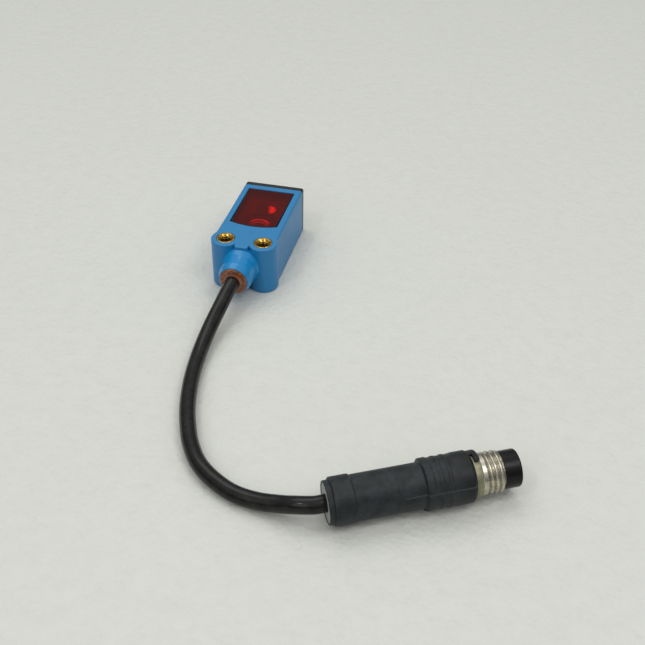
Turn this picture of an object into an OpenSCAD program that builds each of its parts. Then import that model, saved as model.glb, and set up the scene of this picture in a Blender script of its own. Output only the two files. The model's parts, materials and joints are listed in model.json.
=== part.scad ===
// Miniature photoelectric sensor with a short moulded cable and a round threaded plug.
// The sensor lies on its rear face (z = 0) with the optical window facing +Z, the cap towards +Y
// and the cable leaving towards -Y. The origin is midway between the two mounting inserts.

/* [Housing] */
// Width of the straight part of the housing
body_w = 15; // [14:0.1:16]
// Depth from the rear face to the window side
body_d = 12.1; // [11.6:0.1:13]
// Distance from the mounting inserts to the cap joint
body_l = 25.1; // [24.8:0.1:28]
// Thickness of the cap at the far end
cap_t = 1.6; // [1.5:0.1:2.5]
// Thickness of the side walls
wall = 1.3; // [1.1:0.1:1.6]
// Rounding of the long edges on the window side
front_edge_r = 0.6; // [0.3:0.1:1]
// Rounding of the long edges on the rear side
rear_edge_r = 0.4; // [0.2:0.1:0.6]

/* [Mounting inserts] */
// Distance between the two inserts
insert_pitch = 9.1; // [9:0.1:9.4]
// Outer diameter of the bosses around the inserts
boss_d = 6.9; // [6.5:0.1:7]
// Outer diameter of the brass inserts
insert_d = 4.35; // [4.2:0.05:4.5]
// Thread core diameter of the inserts (M3)
insert_core_d = 2.5; // [2.4:0.05:2.6]

/* [Window and optics] */
// Width of the window
window_w = 11.7; // [11:0.1:12]
// Thickness of the window
window_t = 1.2; // [1:0.1:1.4]
// Height of the window's curved lower edge
window_sag = 1.15; // [0.8:0.05:1.5]
// Diameter of the receiver lens
receiver_lens_d = 5.9; // [5:0.1:6.2]
// Diameter of the sender lens
sender_lens_d = 5.2; // [4:0.1:5.6]

/* [Adjuster] */
// Diameter of the sensitivity adjuster's head
adjuster_d = 3; // [2.6:0.1:3.2]
// Radial clearance of the turning parts
running_gap = 0.05; // [0.02:0.01:0.08]

/* [Cable] */
// Outer diameter of the cable
cable_d = 3.4; // [3.2:0.1:3.4]
// Outer diameter of each insulated wire
wire_d = 0.9; // [0.7:0.05:1]
// Outer diameter of the cable outlet behind its rounded mouth
outlet_d = 8; // [7.8:0.1:8.4]
// Height of the cable outlet's axis above the rear face
outlet_z = 6.7; // [6.4:0.1:6.8]

/* [Plug] */
// Length of the moulded grip with its end ring
grip_l = 27.4; // [27:0.2:30]
// Diameter of the grip's ribbed front
grip_d = 9.9; // [9.6:0.1:10.4]
// Diameter of the grip's collar at the cable end
grip_collar_d = 9.1; // [8.9:0.1:9.3]
// Diameter of the grip's plain middle
grip_middle_d = 8.6; // [8.4:0.1:8.8]
// Major diameter of the plug's thread (M8)
thread_d = 8; // [8:0.1:8.2]
// Length of the plug's thread
thread_l = 4.2; // [4:0.1:5]
// Length of the plug's black nose
nose_l = 3.4; // [3:0.1:4]
// Direction in which the plug points, seen from above
plug_yaw = 26.8; // [25:0.1:30]

/* [Hidden] */
$fn = 64;

cut = 0.1;            // how far a cutting solid runs past a face
fixed_gap = 0.02;     // gap all round a glued or pressed part
cap_end = body_l + cap_t;

// Inside of the housing
cavity_w = body_w - 2 * wall;
cavity_y = 4.1;
cavity_floor = wall;
ledge_t = 0.8;
window_z = body_d - window_t;
cavity_top = window_z - ledge_t;

// Window outline
window_y = 7.36;
window_end = 23.48;
window_r = (pow(window_w / 2, 2) + pow(window_sag, 2)) / (2 * window_sag);
window_gap = 0.05;

// Front of the housing and the cable outlet
web_w = 3.4;
web_y = -3.2;
channel_r = 1.8;
outlet_end = 9.3;
outlet_bore_r = 3.3;
outlet_wall_t = 1;
potting_start = -web_y + outlet_wall_t + 0.05;
potting_tip = 9.9;
cable_bore_r = cable_d / 2 + 0.05;
jacket_start = -4.4;

// Board and optics
board_w = 11.6;
board_y = 4.6;
board_end = 22.3;
board_z = 3.2;
board_t = 0.8;
board_top = board_z + board_t;
receiver_y = 11.4;
sender_y = 18.2;
carrier_w = 12;
carrier_y = 7.4;
carrier_end = 22.2;
carrier_z = 4.9;
carrier_top = 9.95;
receiver_seat_z = 8.7;
sender_seat_z = 8.9;
lens_rim_t = 0.5;
seat_gap = 0.05;
chip_h = 0.75;

// Adjuster and indicators, measured along +Y
adjuster_z = 6.2;
adjuster_box_w = 5.2;
adjuster_y = 22.6;
adjuster_end = 24.9;
track_y = 22.9;
track_t = 0.25;
wiper_y = 23.2;
wiper_t = 0.2;
flange_y = wiper_y + wiper_t;
flange_r = 2.1;
flange_end = 24.4;
neck_wall_y = 24.5;
screw_end = cap_end - 0.2;
slot_w = 0.6;
slot_depth = 0.6;
seal_y = body_l + 0.35;
seal_section_r = 0.33;
seal_r = 1.5;
groove_r = seal_r - seal_section_r - fixed_gap;
groove_w = 0.7;
seal_bore_r = seal_r + seal_section_r + fixed_gap;
indicator_x = 4.2;
indicator_z = 4.5;
pipe_w = 1.6;
pipe_y = 22.35;

// Plug, measured along its own axis from the cable end
end_ring_t = 1;
grip_collar_u = 4.7;
grip_step_u = 18.1;
// The plug rests on its collar and on the first rib, so its axis tilts a little
plug_tilt = asin((grip_d - grip_collar_d) / 2 / (grip_step_u - end_ring_t));
plug_end = [35.9, -68.1, grip_collar_d / 2 * cos(plug_tilt) - end_ring_t * sin(plug_tilt)];
grip_bore_r = 3.5;
grip_bore_u = 12;
jacket_end_u = 14;
mould_end_u = 20.4;
flange_end_u = 23.4;
collar_l = 1.5;
collar_r = 4.2;  // of the metal collar
sleeve_bore_r = 3.05;
thread_u = grip_l + collar_l;
thread_end_u = thread_u + thread_l;
thread_chamfer = 0.3;
nose_r = 3.6;
nose_end_u = thread_end_u + nose_l;
hollow_r = 2.5;
hollow_depth = 5.5;
pin_r = 0.4;
pin_circle_r = 1.35;
pin_tip_u = nose_end_u - 0.9;

// Route of the cable from the potting to the plug, its height included
plug_axis = [cos(plug_tilt) * cos(plug_yaw), cos(plug_tilt) * sin(plug_yaw), sin(plug_tilt)];
function plug_point(u) = plug_end + u * plug_axis;
cable_route = concat(
    [[0, jacket_start, outlet_z], [0, -9.7, outlet_z], [-0.15, -11.4, 6.5],
     [-0.7, -17, 5], [-1.3, -23, 3.2], [-1.3, -29, 2.1], [-0.7, -35, 1.8], [0.4, -41, 1.8],
     [2, -47, 1.8], [4, -52.4, 1.8], [6.3, -57.2, 1.8], [9.4, -61.6, 1.8],
     [13.3, -64.9, 1.8], [18.1, -67.4, 1.8], [23, -68.5, 2.1], [27.5, -69, 3],
     [31, -69.4, 4.1]],
    [plug_point(-2), plug_point(0), plug_point(jacket_end_u)]
);

// ---- Shared shapes ----

// Round bar along Y between two values of y
module y_rod(r, y0, y1, x = 0, z = 0)
    translate([x, y1, z])
        rotate([90, 0, 0])
            cylinder(r = r, h = y1 - y0);

// Box between two corners
module box(low, high)
    translate(low)
        cube(high - low);

// Solid turned about the outlet's axis; the profile holds [radius, distance along -Y]
module outlet_turned(profile)
    translate([0, 0, outlet_z])
        rotate([90, 0, 0])
            rotate_extrude()
                polygon(profile);

// Children given in the plug's own axes, with +Z along the plug, moved to where the plug lies
module on_plug()
    translate(plug_end)
        rotate([0, 90 - plug_tilt, plug_yaw])
            children();

// Solid turned about the plug's axis; the profile holds [radius, distance from the cable end]
module plug_turned(profile)
    on_plug()
        rotate_extrude()
            polygon(profile);

// Outline of the window, grown by a gap all round
module window_outline(gap)
    intersection() {
        translate([-window_w / 2 - gap, 0])
            square([window_w + 2 * gap, window_end + gap]);
        translate([0, window_y - window_sag + window_r])
            circle(r = window_r + gap, $fn = 128);
    }

// Domed lens standing on its flat side at the origin
module lens(r, dome_h) {
    dome_r = (r * r + dome_h * dome_h) / (2 * dome_h);
    cylinder(r = r, h = lens_rim_t);
    translate([0, 0, lens_rim_t])
        intersection() {
            cylinder(r = r, h = dome_h + cut);
            translate([0, 0, dome_h - dome_r])
                sphere(r = dome_r);
        }
}

function unit(v) = v / norm(v);
function tangent(route, i) =
    unit(route[min(i + 1, len(route) - 1)] - route[max(i - 1, 0)]);
function ring(centre, along, r, sides) =
    let (side = unit(cross(along, [0, 0, 1])), over = cross(side, along))
    [for (k = [0 : sides - 1])
        centre + r * (cos(360 * k / sides) * side + sin(360 * k / sides) * over)];

// Tube swept along a route that never runs straight up or down
module swept_tube(route, r, sides) {
    rings = len(route);
    points = [for (i = [0 : rings - 1]) each ring(route[i], tangent(route, i), r, sides)];
    start_face = [for (k = [0 : sides - 1]) k];
    end_face = [for (k = [sides - 1 : -1 : 0]) (rings - 1) * sides + k];
    wall_faces = [for (i = [0 : rings - 2], k = [0 : sides - 1])
        let (a = i * sides + k, b = i * sides + (k + 1) % sides)
        each [[a, a + sides, b], [b, a + sides, b + sides]]];
    polyhedron(points = points, faces = concat([start_face], wall_faces, [end_face]));
}

// ---- Housing and what closes it ----

module housing_block() {
    top_w = body_w - 2 * front_edge_r;
    box([-top_w / 2, 0, 0], [top_w / 2, body_l, body_d]);
    box([-body_w / 2, 0, rear_edge_r], [body_w / 2, body_l, body_d - front_edge_r]);
    for (side = [-1, 1]) {
        y_rod(front_edge_r, 0, body_l, side * top_w / 2, body_d - front_edge_r);
        y_rod(rear_edge_r, 0, body_l, side * (body_w / 2 - rear_edge_r), rear_edge_r);
    }
}

module bosses(gap = 0)
    for (side = [-1, 1])
        translate([side * insert_pitch / 2, 0, 0])
            cylinder(r = boss_d / 2 + gap, h = body_d);

module housing()
    color("#3a85c0")
        difference() {
            union() {
                housing_block();
                bosses();
                box([-web_w / 2, web_y, 0], [web_w / 2, cut, body_d]);
            }
            box([-cavity_w / 2, cavity_y, cavity_floor], [cavity_w / 2, body_l + cut, cavity_top]);
            box([-window_w / 2 + ledge_t, window_y + 0.5, cavity_top - cut],
                [window_w / 2 - ledge_t, window_end - ledge_t, window_z + cut]);
            translate([0, 0, window_z])
                linear_extrude(window_t + cut)
                    window_outline(window_gap);
            for (side = [-1, 1])
                translate([side * insert_pitch / 2, 0, -cut])
                    cylinder(r = insert_d / 2 + fixed_gap, h = body_d + 2 * cut);
            y_rod(channel_r, web_y - cut, cavity_y + cut, 0, outlet_z);
        }

module window()
    color("#6b1f1a")
        translate([0, 0, window_z])
            linear_extrude(window_t)
                window_outline(0);

module top_cap() {
    lip_y = body_l - 0.8;
    lip_gap = 0.05;
    lip_t = 0.8;
    corner = 1.5;
    color("#1c1d1f")
        difference() {
            union() {
                box([-body_w / 2, body_l, 0], [body_w / 2, cap_end, body_d]);
                difference() {
                    box([-cavity_w / 2 + lip_gap, lip_y, cavity_floor + lip_gap],
                        [cavity_w / 2 - lip_gap, body_l, cavity_top - lip_gap]);
                    box([-cavity_w / 2 + lip_t, lip_y - cut, cavity_floor + lip_t],
                        [cavity_w / 2 - lip_t, body_l, cavity_top - lip_t]);
                }
            }
            // Bevels along the cap's rear and front edges
            translate([0, cap_end, 0])
                rotate([45, 0, 0])
                    cube([body_w + 1, corner, corner], center = true);
            translate([0, cap_end, body_d])
                rotate([45, 0, 0])
                    cube([body_w + 1, corner / 4, corner / 4], center = true);
            for (side = [-1, 1])
                translate([side * body_w / 2, body_l, body_d])
                    rotate([0, 45, 0])
                        cube([corner / 3, 4 * cap_t, corner / 3], center = true);
            y_rod(adjuster_d / 2 + running_gap, body_l - cut, cap_end + cut, 0, adjuster_z);
            y_rod(seal_bore_r, body_l - cut, seal_y + groove_w / 2, 0, adjuster_z);
            for (side = [-1, 1])
                translate([side * indicator_x, body_l + cap_t / 2, indicator_z])
                    cube([pipe_w + 2 * fixed_gap, 2 * cap_t, pipe_w + 2 * fixed_gap], center = true);
        }
}

module insert(side) {
    chamfer = 0.5;
    core_r = insert_core_d / 2;
    color("#c9a24a")
        translate([side * insert_pitch / 2, 0, 0])
            difference() {
                cylinder(d = insert_d, h = body_d);
                translate([0, 0, -cut])
                    cylinder(r = core_r, h = body_d + 2 * cut);
                cylinder(r1 = core_r + chamfer, r2 = core_r, h = chamfer);
                translate([0, 0, body_d - chamfer])
                    cylinder(r1 = core_r, r2 = core_r + chamfer, h = chamfer);
            }
}

module insert_left()
    insert(-1);

module insert_right()
    insert(1);

module cable_outlet() {
    r = outlet_d / 2;
    root_r = r + 0.5;
    color("#4390cc")
        difference() {
            outlet_turned([
                [channel_r, 1.6], [root_r, 1.6], [root_r, 3.35], [root_r - 0.3, 3.65],
                [r + 0.05, 5.4], [r, 6.6], [r - 0.07, 7.5], [r - 0.25, 8.4],
                [r - 0.45, 9], [outlet_bore_r + 0.15, outlet_end],
                [outlet_bore_r, outlet_end], [outlet_bore_r, -web_y + outlet_wall_t],
                [channel_r, -web_y + outlet_wall_t]
            ]);
            bosses(fixed_gap);
            box([-web_w / 2 - fixed_gap, web_y - fixed_gap, -cut],
                [web_w / 2 + fixed_gap, 0, body_d + cut]);
        }
}

module potting_plug() {
    r = outlet_bore_r - fixed_gap;
    bead_r = outlet_bore_r + 0.22;
    bead_y = outlet_end + fixed_gap;
    color("#8a4a22")
        outlet_turned([
            [cable_bore_r, potting_start], [r, potting_start], [r, bead_y], [bead_r, bead_y],
            [bead_r, bead_y + 0.15], [bead_r - 0.35, bead_y + 0.4], [cable_bore_r, potting_tip]
        ]);
}

// ---- Optics and electronics ----

// Light tunnel under a lens: the lens seat, and a cone that narrows down to the board
module light_tunnel(y, lens_r, seat_z, mouth_r)
    translate([0, y, 0]) {
        translate([0, 0, seat_z])
            cylinder(r = lens_r + seat_gap, h = body_d);
        translate([0, 0, carrier_z - cut])
            cylinder(r1 = mouth_r, r2 = lens_r - 0.5, h = seat_z - carrier_z + 2 * cut);
    }

module optics_carrier() {
    post = 0.8;
    wall_y = (receiver_y + sender_y) / 2;
    color("#202124") {
        difference() {
            box([-carrier_w / 2, carrier_y, carrier_z], [carrier_w / 2, carrier_end, carrier_top]);
            light_tunnel(receiver_y, receiver_lens_d / 2, receiver_seat_z, 1.2);
            light_tunnel(sender_y, sender_lens_d / 2, sender_seat_z, 0.8);
        }
        // Feet on the board, and the light-tight wall between the two channels
        for (side = [-1, 1])
            box([side * 5.2 - post / 2, carrier_y, board_top],
                [side * 5.2 + post / 2, carrier_y + post, carrier_z]);
        box([-carrier_w / 2 + 0.4, wall_y - 0.3, board_top], [carrier_w / 2 - 0.4, wall_y + 0.3, carrier_z]);
    }
}

module receiver_lens()
    color("#e6b0a8")
        translate([0, receiver_y, receiver_seat_z])
            lens(receiver_lens_d / 2, 1.3);

module sender_lens()
    color("#e6b0a8")
        translate([0, sender_y, sender_seat_z])
            lens(sender_lens_d / 2, 1.1);

module main_board() {
    hole_r = 0.4;
    pads = 4;
    color("#1f5a38")
        difference() {
            box([-board_w / 2, board_y, board_z], [board_w / 2, board_end, board_top]);
            for (i = [0 : pads - 1])
                translate([(i - (pads - 1) / 2) * 1.6, board_y + 0.7, board_z - cut])
                    cylinder(r = hole_r, h = board_t + 2 * cut);
        }
}

module controller_chip()
    color("#17181a")
        box([-2.1, 12.4, board_z - chip_h], [2.1, 16.6, board_z]);

// Chip resistors and capacitors: a row on the rear side of the board and a pair on its front side
module board_parts() {
    part_w = 0.8;
    part_l = 1.6;
    part_h = 0.6;
    color("#8d7a5e") {
        for (x = [-4.2, -2.1, 0, 2.1, 4.2], y = [8, 19])
            translate([x, y, board_z - part_h / 2])
                cube([part_w, part_l, part_h], center = true);
        for (side = [-1, 1])
            translate([side * 4.2, 16.4, board_top + part_h / 2])
                cube([part_l, part_w, part_h], center = true);
    }
}

module emitter_led()
    color("#e8e2d0") {
        translate([0, sender_y, board_top + 0.3])
            cube([2, 1.25, 0.6], center = true);
        translate([0, sender_y, board_top + 0.6])
            cylinder(r = 0.45, h = 0.25);
    }

module photodiode()
    color("#2a2f3a")
        translate([0, receiver_y, board_top + chip_h / 2])
            cube([3, 2.6, chip_h], center = true);

// Indicator lamp at the board's end, facing its light pipe
module indicator_led(side)
    translate([side * indicator_x, board_end - 0.6, board_top + 0.4])
        cube([1.6, 0.8, 0.8], center = true);

module green_led()
    color("#bfe8c0")
        indicator_led(-1);

module yellow_led()
    color("#f3e6a0")
        indicator_led(1);

// Light pipe from the lamp to the outside of the cap
module light_pipe(side)
    translate([side * indicator_x, (pipe_y + cap_end) / 2, indicator_z])
        cube([pipe_w, cap_end - pipe_y, pipe_w], center = true);

module green_light_pipe()
    color("#7fc08a")
        light_pipe(-1);

module yellow_light_pipe()
    color("#e8c860")
        light_pipe(1);

// ---- Sensitivity adjuster ----

module adjuster_body()
    color("#2b4c86")
        difference() {
            box([-adjuster_box_w / 2, adjuster_y, adjuster_z - adjuster_box_w / 2],
                [adjuster_box_w / 2, adjuster_end, adjuster_z + adjuster_box_w / 2]);
            y_rod(flange_r + running_gap, track_y, neck_wall_y, 0, adjuster_z);
            y_rod(adjuster_d / 2 + running_gap, track_y, adjuster_end + cut, 0, adjuster_z);
        }

module adjuster_terminals()
    color("#c9ccd0")
        for (x = [-1.6, 0, 1.6])
            box([x - 0.2, adjuster_y - 1.4, board_top], [x + 0.2, adjuster_y, board_top + 0.25]);

module adjuster_track()
    color("#3a3330")
        difference() {
            y_rod(flange_r, track_y, track_y + track_t, 0, adjuster_z);
            y_rod(0.8, track_y - cut, track_y + track_t + cut, 0, adjuster_z);
        }

// Spring disc with one contact dimple that rides on the track
module adjuster_wiper() {
    dimple_r = 0.25;
    color("#d8c070") {
        y_rod(flange_r - 0.2, wiper_y, flange_y, 0, adjuster_z);
        y_rod(dimple_r, track_y + track_t + fixed_gap, wiper_y, 0, adjuster_z + 1.4);
    }
}

module adjuster_screw() {
    color("#d9d4c6")
        difference() {
            union() {
                y_rod(flange_r, flange_y, flange_end, 0, adjuster_z);
                y_rod(adjuster_d / 2, flange_y, seal_y - groove_w / 2, 0, adjuster_z);
                y_rod(groove_r, flange_y, screw_end, 0, adjuster_z);
                y_rod(adjuster_d / 2, seal_y + groove_w / 2, screw_end, 0, adjuster_z);
            }
            box([-slot_w / 2, screw_end - slot_depth, adjuster_z - adjuster_d],
                [slot_w / 2, screw_end + cut, adjuster_z + adjuster_d]);
        }
}

module adjuster_seal()
    color("#202020")
        translate([0, seal_y, adjuster_z])
            rotate([90, 0, 0])
                rotate_extrude()
                    translate([seal_r, 0])
                        circle(r = seal_section_r, $fn = 32);

// ---- Wires, cable and plug ----

// Insulated wire: side and level place it in the cable, pad_x is where it meets the board
module wire(side, level, pad_x) {
    lay = 0.6;
    start_y = jacket_start + fixed_gap;
    swept_tube([
        [side * lay, start_y, outlet_z + level * lay],
        [side * lay, 0, outlet_z + level * lay],
        [side * lay, cavity_y - 0.3, outlet_z + level * lay],
        [(side * lay + pad_x) / 2, board_y + 0.5, outlet_z + level * lay / 2 - 0.5],
        [pad_x, board_y + 1.7, board_top + 0.75]
    ], wire_d / 2, 8);
}

module brown_wire()
    color("#6b4226")
        wire(-1, 1, -2.4);

module white_wire()
    color("#e8e6df")
        wire(1, 1, 2.4);

module blue_wire()
    color("#2f5fa8")
        wire(-1, -1, -0.8);

module black_wire()
    color("#1a1a1a")
        wire(1, -1, 0.8);

module cable()
    color("#2d2f2c")
        swept_tube(cable_route, cable_d / 2, 8);

module plug_end_ring()
    color("#8e9290")
        plug_turned([
            [cable_bore_r, 0], [3.9, 0], [4.1, 0.2], [4.1, end_ring_t - fixed_gap],
            [cable_bore_r, end_ring_t - fixed_gap]
        ]);

module plug_grip() {
    collar_r1 = grip_collar_d / 2;
    middle_r = grip_middle_d / 2;
    front_r = grip_d / 2;
    groove_depth = 0.2;
    groove_t = 0.5;
    tab_turn = 124;
    tab_sweep = 66;
    tab_u = grip_l - 0.4;
    color("#34383b") {
        difference() {
            plug_turned([
                [cable_bore_r, end_ring_t], [collar_r1 - 0.3, end_ring_t],
                [collar_r1, end_ring_t + 0.3], [collar_r1, grip_collar_u],
                [middle_r, grip_collar_u + 0.2], [middle_r, grip_step_u - 0.2],
                [front_r, grip_step_u], [front_r, grip_l - 0.6], [front_r - 0.4, grip_l],
                [grip_bore_r, grip_l], [grip_bore_r, grip_bore_u], [cable_bore_r, grip_bore_u]
            ]);
            // Grip grooves
            for (u = [grip_step_u + 1.4 : 1.3 : grip_l - 1.6])
                plug_turned([[front_r - groove_depth, u], [front_r + cut, u],
                    [front_r + cut, u + groove_t], [front_r - groove_depth, u + groove_t]]);
        }
        // Alignment tab over the metal collar
        on_plug()
            rotate([0, 0, tab_turn])
                rotate_extrude(angle = tab_sweep)
                    translate([collar_r + 0.05, tab_u])
                        square([front_r - 0.25 - collar_r, thread_u - 0.1 - tab_u]);
    }
}

module plug_inner_mould() {
    r = grip_bore_r - fixed_gap;
    color("#3c3c3c")
        plug_turned([
            [cable_bore_r, grip_bore_u + fixed_gap], [r, grip_bore_u + fixed_gap],
            [r, mould_end_u], [0, mould_end_u], [0, jacket_end_u + fixed_gap],
            [cable_bore_r, jacket_end_u + fixed_gap]
        ]);
}

module threaded_sleeve() {
    r = thread_d / 2;
    color("#b9b7a8")
        plug_turned([
            [sleeve_bore_r, flange_end_u], [grip_bore_r - fixed_gap, flange_end_u],
            [grip_bore_r - fixed_gap, grip_l + fixed_gap], [collar_r, grip_l + fixed_gap],
            [collar_r, thread_u], [r, thread_u], [r, thread_end_u - thread_chamfer],
            [r - thread_chamfer, thread_end_u], [sleeve_bore_r, thread_end_u]
        ]);
}

module contact_carrier() {
    r = sleeve_bore_r - fixed_gap;
    flange_r = grip_bore_r - fixed_gap;
    hollow_u = nose_end_u - hollow_depth;
    key_w = 0.9;
    key_h = 0.4;
    color("#1b1b1c") {
        difference() {
            plug_turned([
                [0, mould_end_u + fixed_gap], [flange_r, mould_end_u + fixed_gap],
                [flange_r, flange_end_u - fixed_gap], [r, flange_end_u - fixed_gap],
                [r, thread_end_u + fixed_gap], [nose_r, thread_end_u + fixed_gap],
                [nose_r, nose_end_u - 0.2], [nose_r - 0.2, nose_end_u], [hollow_r, nose_end_u],
                [hollow_r, hollow_u], [0, hollow_u]
            ]);
            pin_set(pin_r + fixed_gap, mould_end_u, nose_end_u);
        }
        on_plug()
            box([-hollow_r - 0.1, -key_w / 2, hollow_u - cut],
                [-hollow_r + key_h, key_w / 2, nose_end_u - 0.4]);
    }
}

// Four round bars around the plug's axis
module pin_set(r, u0, u1)
    on_plug()
        for (a = [45 : 90 : 315])
            translate([pin_circle_r * cos(a), pin_circle_r * sin(a), u0])
                cylinder(r = r, h = u1 - u0, $fn = 32);

module contact_pins()
    color("#d8b45a")
        pin_set(pin_r, mould_end_u + 2 * fixed_gap, pin_tip_u);

housing();
window();
top_cap();
insert_left();
insert_right();
cable_outlet();
potting_plug();
optics_carrier();
receiver_lens();
sender_lens();
main_board();
controller_chip();
board_parts();
emitter_led();
photodiode();
green_led();
yellow_led();
green_light_pipe();
yellow_light_pipe();
adjuster_body();
adjuster_terminals();
adjuster_track();
adjuster_wiper();
adjuster_screw();
adjuster_seal();
brown_wire();
white_wire();
blue_wire();
black_wire();
cable();
plug_end_ring();
plug_grip();
plug_inner_mould();
threaded_sleeve();
contact_carrier();
contact_pins();
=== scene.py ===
"""Miniature photoelectric sensor: the looks of its housing, optics, cable and plug."""

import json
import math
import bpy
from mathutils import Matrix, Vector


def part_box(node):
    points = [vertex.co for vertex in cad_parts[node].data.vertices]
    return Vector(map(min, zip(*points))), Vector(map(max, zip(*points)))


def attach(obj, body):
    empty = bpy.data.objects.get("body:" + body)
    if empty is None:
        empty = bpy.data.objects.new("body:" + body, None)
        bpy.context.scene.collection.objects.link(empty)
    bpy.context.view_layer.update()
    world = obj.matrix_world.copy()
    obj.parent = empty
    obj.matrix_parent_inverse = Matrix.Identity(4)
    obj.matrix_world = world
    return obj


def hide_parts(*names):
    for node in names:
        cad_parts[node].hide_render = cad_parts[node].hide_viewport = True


bl_info = {
    "name": "Photoelectric sensor",
    "version": (1, 0, 0),
    "blender": (4, 5, 0),
    "location": "3D View > Sidebar > Sensor",
    "description": "Builds a miniature photoelectric sensor with a short cable and a round plug",
    "category": "Add Mesh",
}

import bmesh
import bpy
import numpy as np
from mathutils import Matrix, Vector

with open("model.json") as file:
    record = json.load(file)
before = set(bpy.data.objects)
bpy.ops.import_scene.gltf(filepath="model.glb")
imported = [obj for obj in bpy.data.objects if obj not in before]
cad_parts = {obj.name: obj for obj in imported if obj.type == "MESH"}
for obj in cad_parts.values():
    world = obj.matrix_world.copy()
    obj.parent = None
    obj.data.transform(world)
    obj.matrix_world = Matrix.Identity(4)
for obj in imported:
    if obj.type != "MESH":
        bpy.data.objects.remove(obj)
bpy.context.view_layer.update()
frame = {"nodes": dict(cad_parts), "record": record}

MM = 0.001
TURN = 2 * math.pi


# ---- Where the frame says things are, in millimetres ----


def span(node):
    """Lowest and highest corner of a CAD node, in millimetres."""
    low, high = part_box(node)
    return np.array(low) / MM, np.array(high) / MM


def middle_of(node):
    low, high = span(node)
    return (low + high) / 2


def mount(name):
    """A mount's place in millimetres and its axis."""
    found = next(m for m in frame["record"]["mounts"] if m["name"] == name)
    return np.array(found["pos_m"]) / MM, np.array(found["axis"])


BODY_LOW, BODY_HIGH = span("housing")
CAP_HIGH = span("top_cap")[1]
OUTLET_LOW, OUTLET_HIGH = span("cable_outlet")
HALF_WIDTH = CAP_HIGH[0]
DEPTH = BODY_HIGH[2]
CAP_JOINT = BODY_HIGH[1]
CAP_END = CAP_HIGH[1]
INSERT_X = mount("insert_thread_right")[0][0]
BOSS_R = -BODY_LOW[1]
OUTLET_Z = (OUTLET_LOW[2] + OUTLET_HIGH[2]) / 2
OUTLET_END = -OUTLET_LOW[1]

# The moulded front between the bosses
WEB_HALF = 1.7
WEB_FRONT = 3.2

# The inside of the housing
WALL = 1.3
CAVITY_Y = 4.1
LEDGE = 0.8
CABLE_CHANNEL_R = 1.8
WINDOW_LOW, WINDOW_HIGH = span("window")
LEDGE_Z = WINDOW_LOW[2] - LEDGE

# Stations along the plug, from its cable end
END_RING_T = 1.0
COLLAR_END = 4.7
GRIP_STEP = 18.1
GRIP_END = 27.4
THREAD_START = 28.9
THREAD_END = 33.1
NOSE_END = 36.5
THREAD_CHAMFER = 0.3
THREAD_MIDDLE = (THREAD_START + THREAD_END - THREAD_CHAMFER) / 2
PLUG_THREAD_AT, PLUG_AXIS = mount("plug_thread")
PLUG_END = PLUG_THREAD_AT - THREAD_MIDDLE * PLUG_AXIS

# The cable's route, as its solid in the frame has it
CABLE_START = -4.4
CABLE_ROUTE = [
    (0, CABLE_START, OUTLET_Z), (0, -9.7, OUTLET_Z), (-0.15, -11.4, 6.5), (-0.7, -17, 5),
    (-1.3, -23, 3.2), (-1.3, -29, 2.1), (-0.7, -35, 1.8), (0.4, -41, 1.8), (2, -47, 1.8),
    (4, -52.4, 1.8), (6.3, -57.2, 1.8), (9.4, -61.6, 1.8), (13.3, -64.9, 1.8), (18.1, -67.4, 1.8),
    (23, -68.5, 2.1), (27.5, -69, 3), (31, -69.4, 4.1),
]
CABLE_R = 1.7
JACKET_END = 14

# How far turned and cut pieces stay clear of the ones that they sit in
CLEARANCE = 0.02


# ---- Settings ----


def linear(hex_colour):
    """Linear RGBA of an sRGB hex colour such as "#3a85c0"."""
    channels = [int(hex_colour[i : i + 2], 16) / 255 for i in (1, 3, 5)]
    return tuple(c / 12.92 if c <= 0.04045 else ((c + 0.055) / 1.055) ** 2.4 for c in channels) + (1.0,)


def length(name, description, millimetres):
    return bpy.props.FloatProperty(
        name=name, description=description, default=millimetres * MM, min=0, unit="LENGTH", precision=5
    )


def colour(name, description, hex_colour):
    return bpy.props.FloatVectorProperty(
        name=name, description=description, default=linear(hex_colour),
        size=4, min=0, max=1, subtype="COLOR",
    )


class SensorSizes(bpy.types.PropertyGroup):
    """Sizes that only the looks have: roundings, threads and surface relief"""

    long_edge: length("Long edges", "Rounding of the housing's long edges on the window side", 0.6)
    rear_edge: length("Rear edges", "Rounding of the edges on the rear side", 0.4)
    boss_edge: length("Boss edges", "Rounding around the bosses and the web between them", 0.28)
    cap_corner: length("Cap corner", "Rounding of the cap's rear corner", 1.0)
    window_sag: length("Window bow", "Height of the window's curved lower edge", 1.15)
    window_gap: length("Window gap", "Gap around the window", 0.08)
    insert_pitch: length("Insert thread pitch", "Pitch of the M3 thread", 0.5)
    plug_pitch: length("Plug thread pitch", "Pitch of the M8 thread", 1.0)
    rib_depth: length("Rib depth", "Depth of the grooves in the grip", 0.16)


class SensorColours(bpy.types.PropertyGroup):
    """Colours of the plastics, metals and rubbers"""

    housing: colour("Housing", "Moulded polyester of the housing", "#1d7ab1")
    outlet: colour("Cable outlet", "Moulded polyester of the cable outlet", "#107fbb")
    window: colour("Window", "Tint of the front window", "#641413")
    cap: colour("Cap", "Black plastic of the cap", "#131415")
    brass: colour("Brass", "Turned brass of the inserts", "#d3a94f")
    potting: colour("Potting", "Cast resin around the cable", "#8f4a14")
    cable: colour("Cable", "Jacket of the cable", "#121312")
    grip: colour("Grip", "Moulded rubber of the plug", "#171a1c")
    nickel: colour("Nickel", "Plating of the threaded sleeve", "#c6c1b2")
    nose: colour("Nose", "Black plastic of the plug's nose", "#0b0b0c")
    floor: colour("Floor", "Board that the sensor lies on", "#d4d5cf")


class SensorSettings(bpy.types.PropertyGroup):
    """Everything that the panel shows"""

    sizes: bpy.props.PointerProperty(type=SensorSizes)
    colours: bpy.props.PointerProperty(type=SensorColours)


def sizes():
    return bpy.context.scene.sensor.sizes


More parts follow.
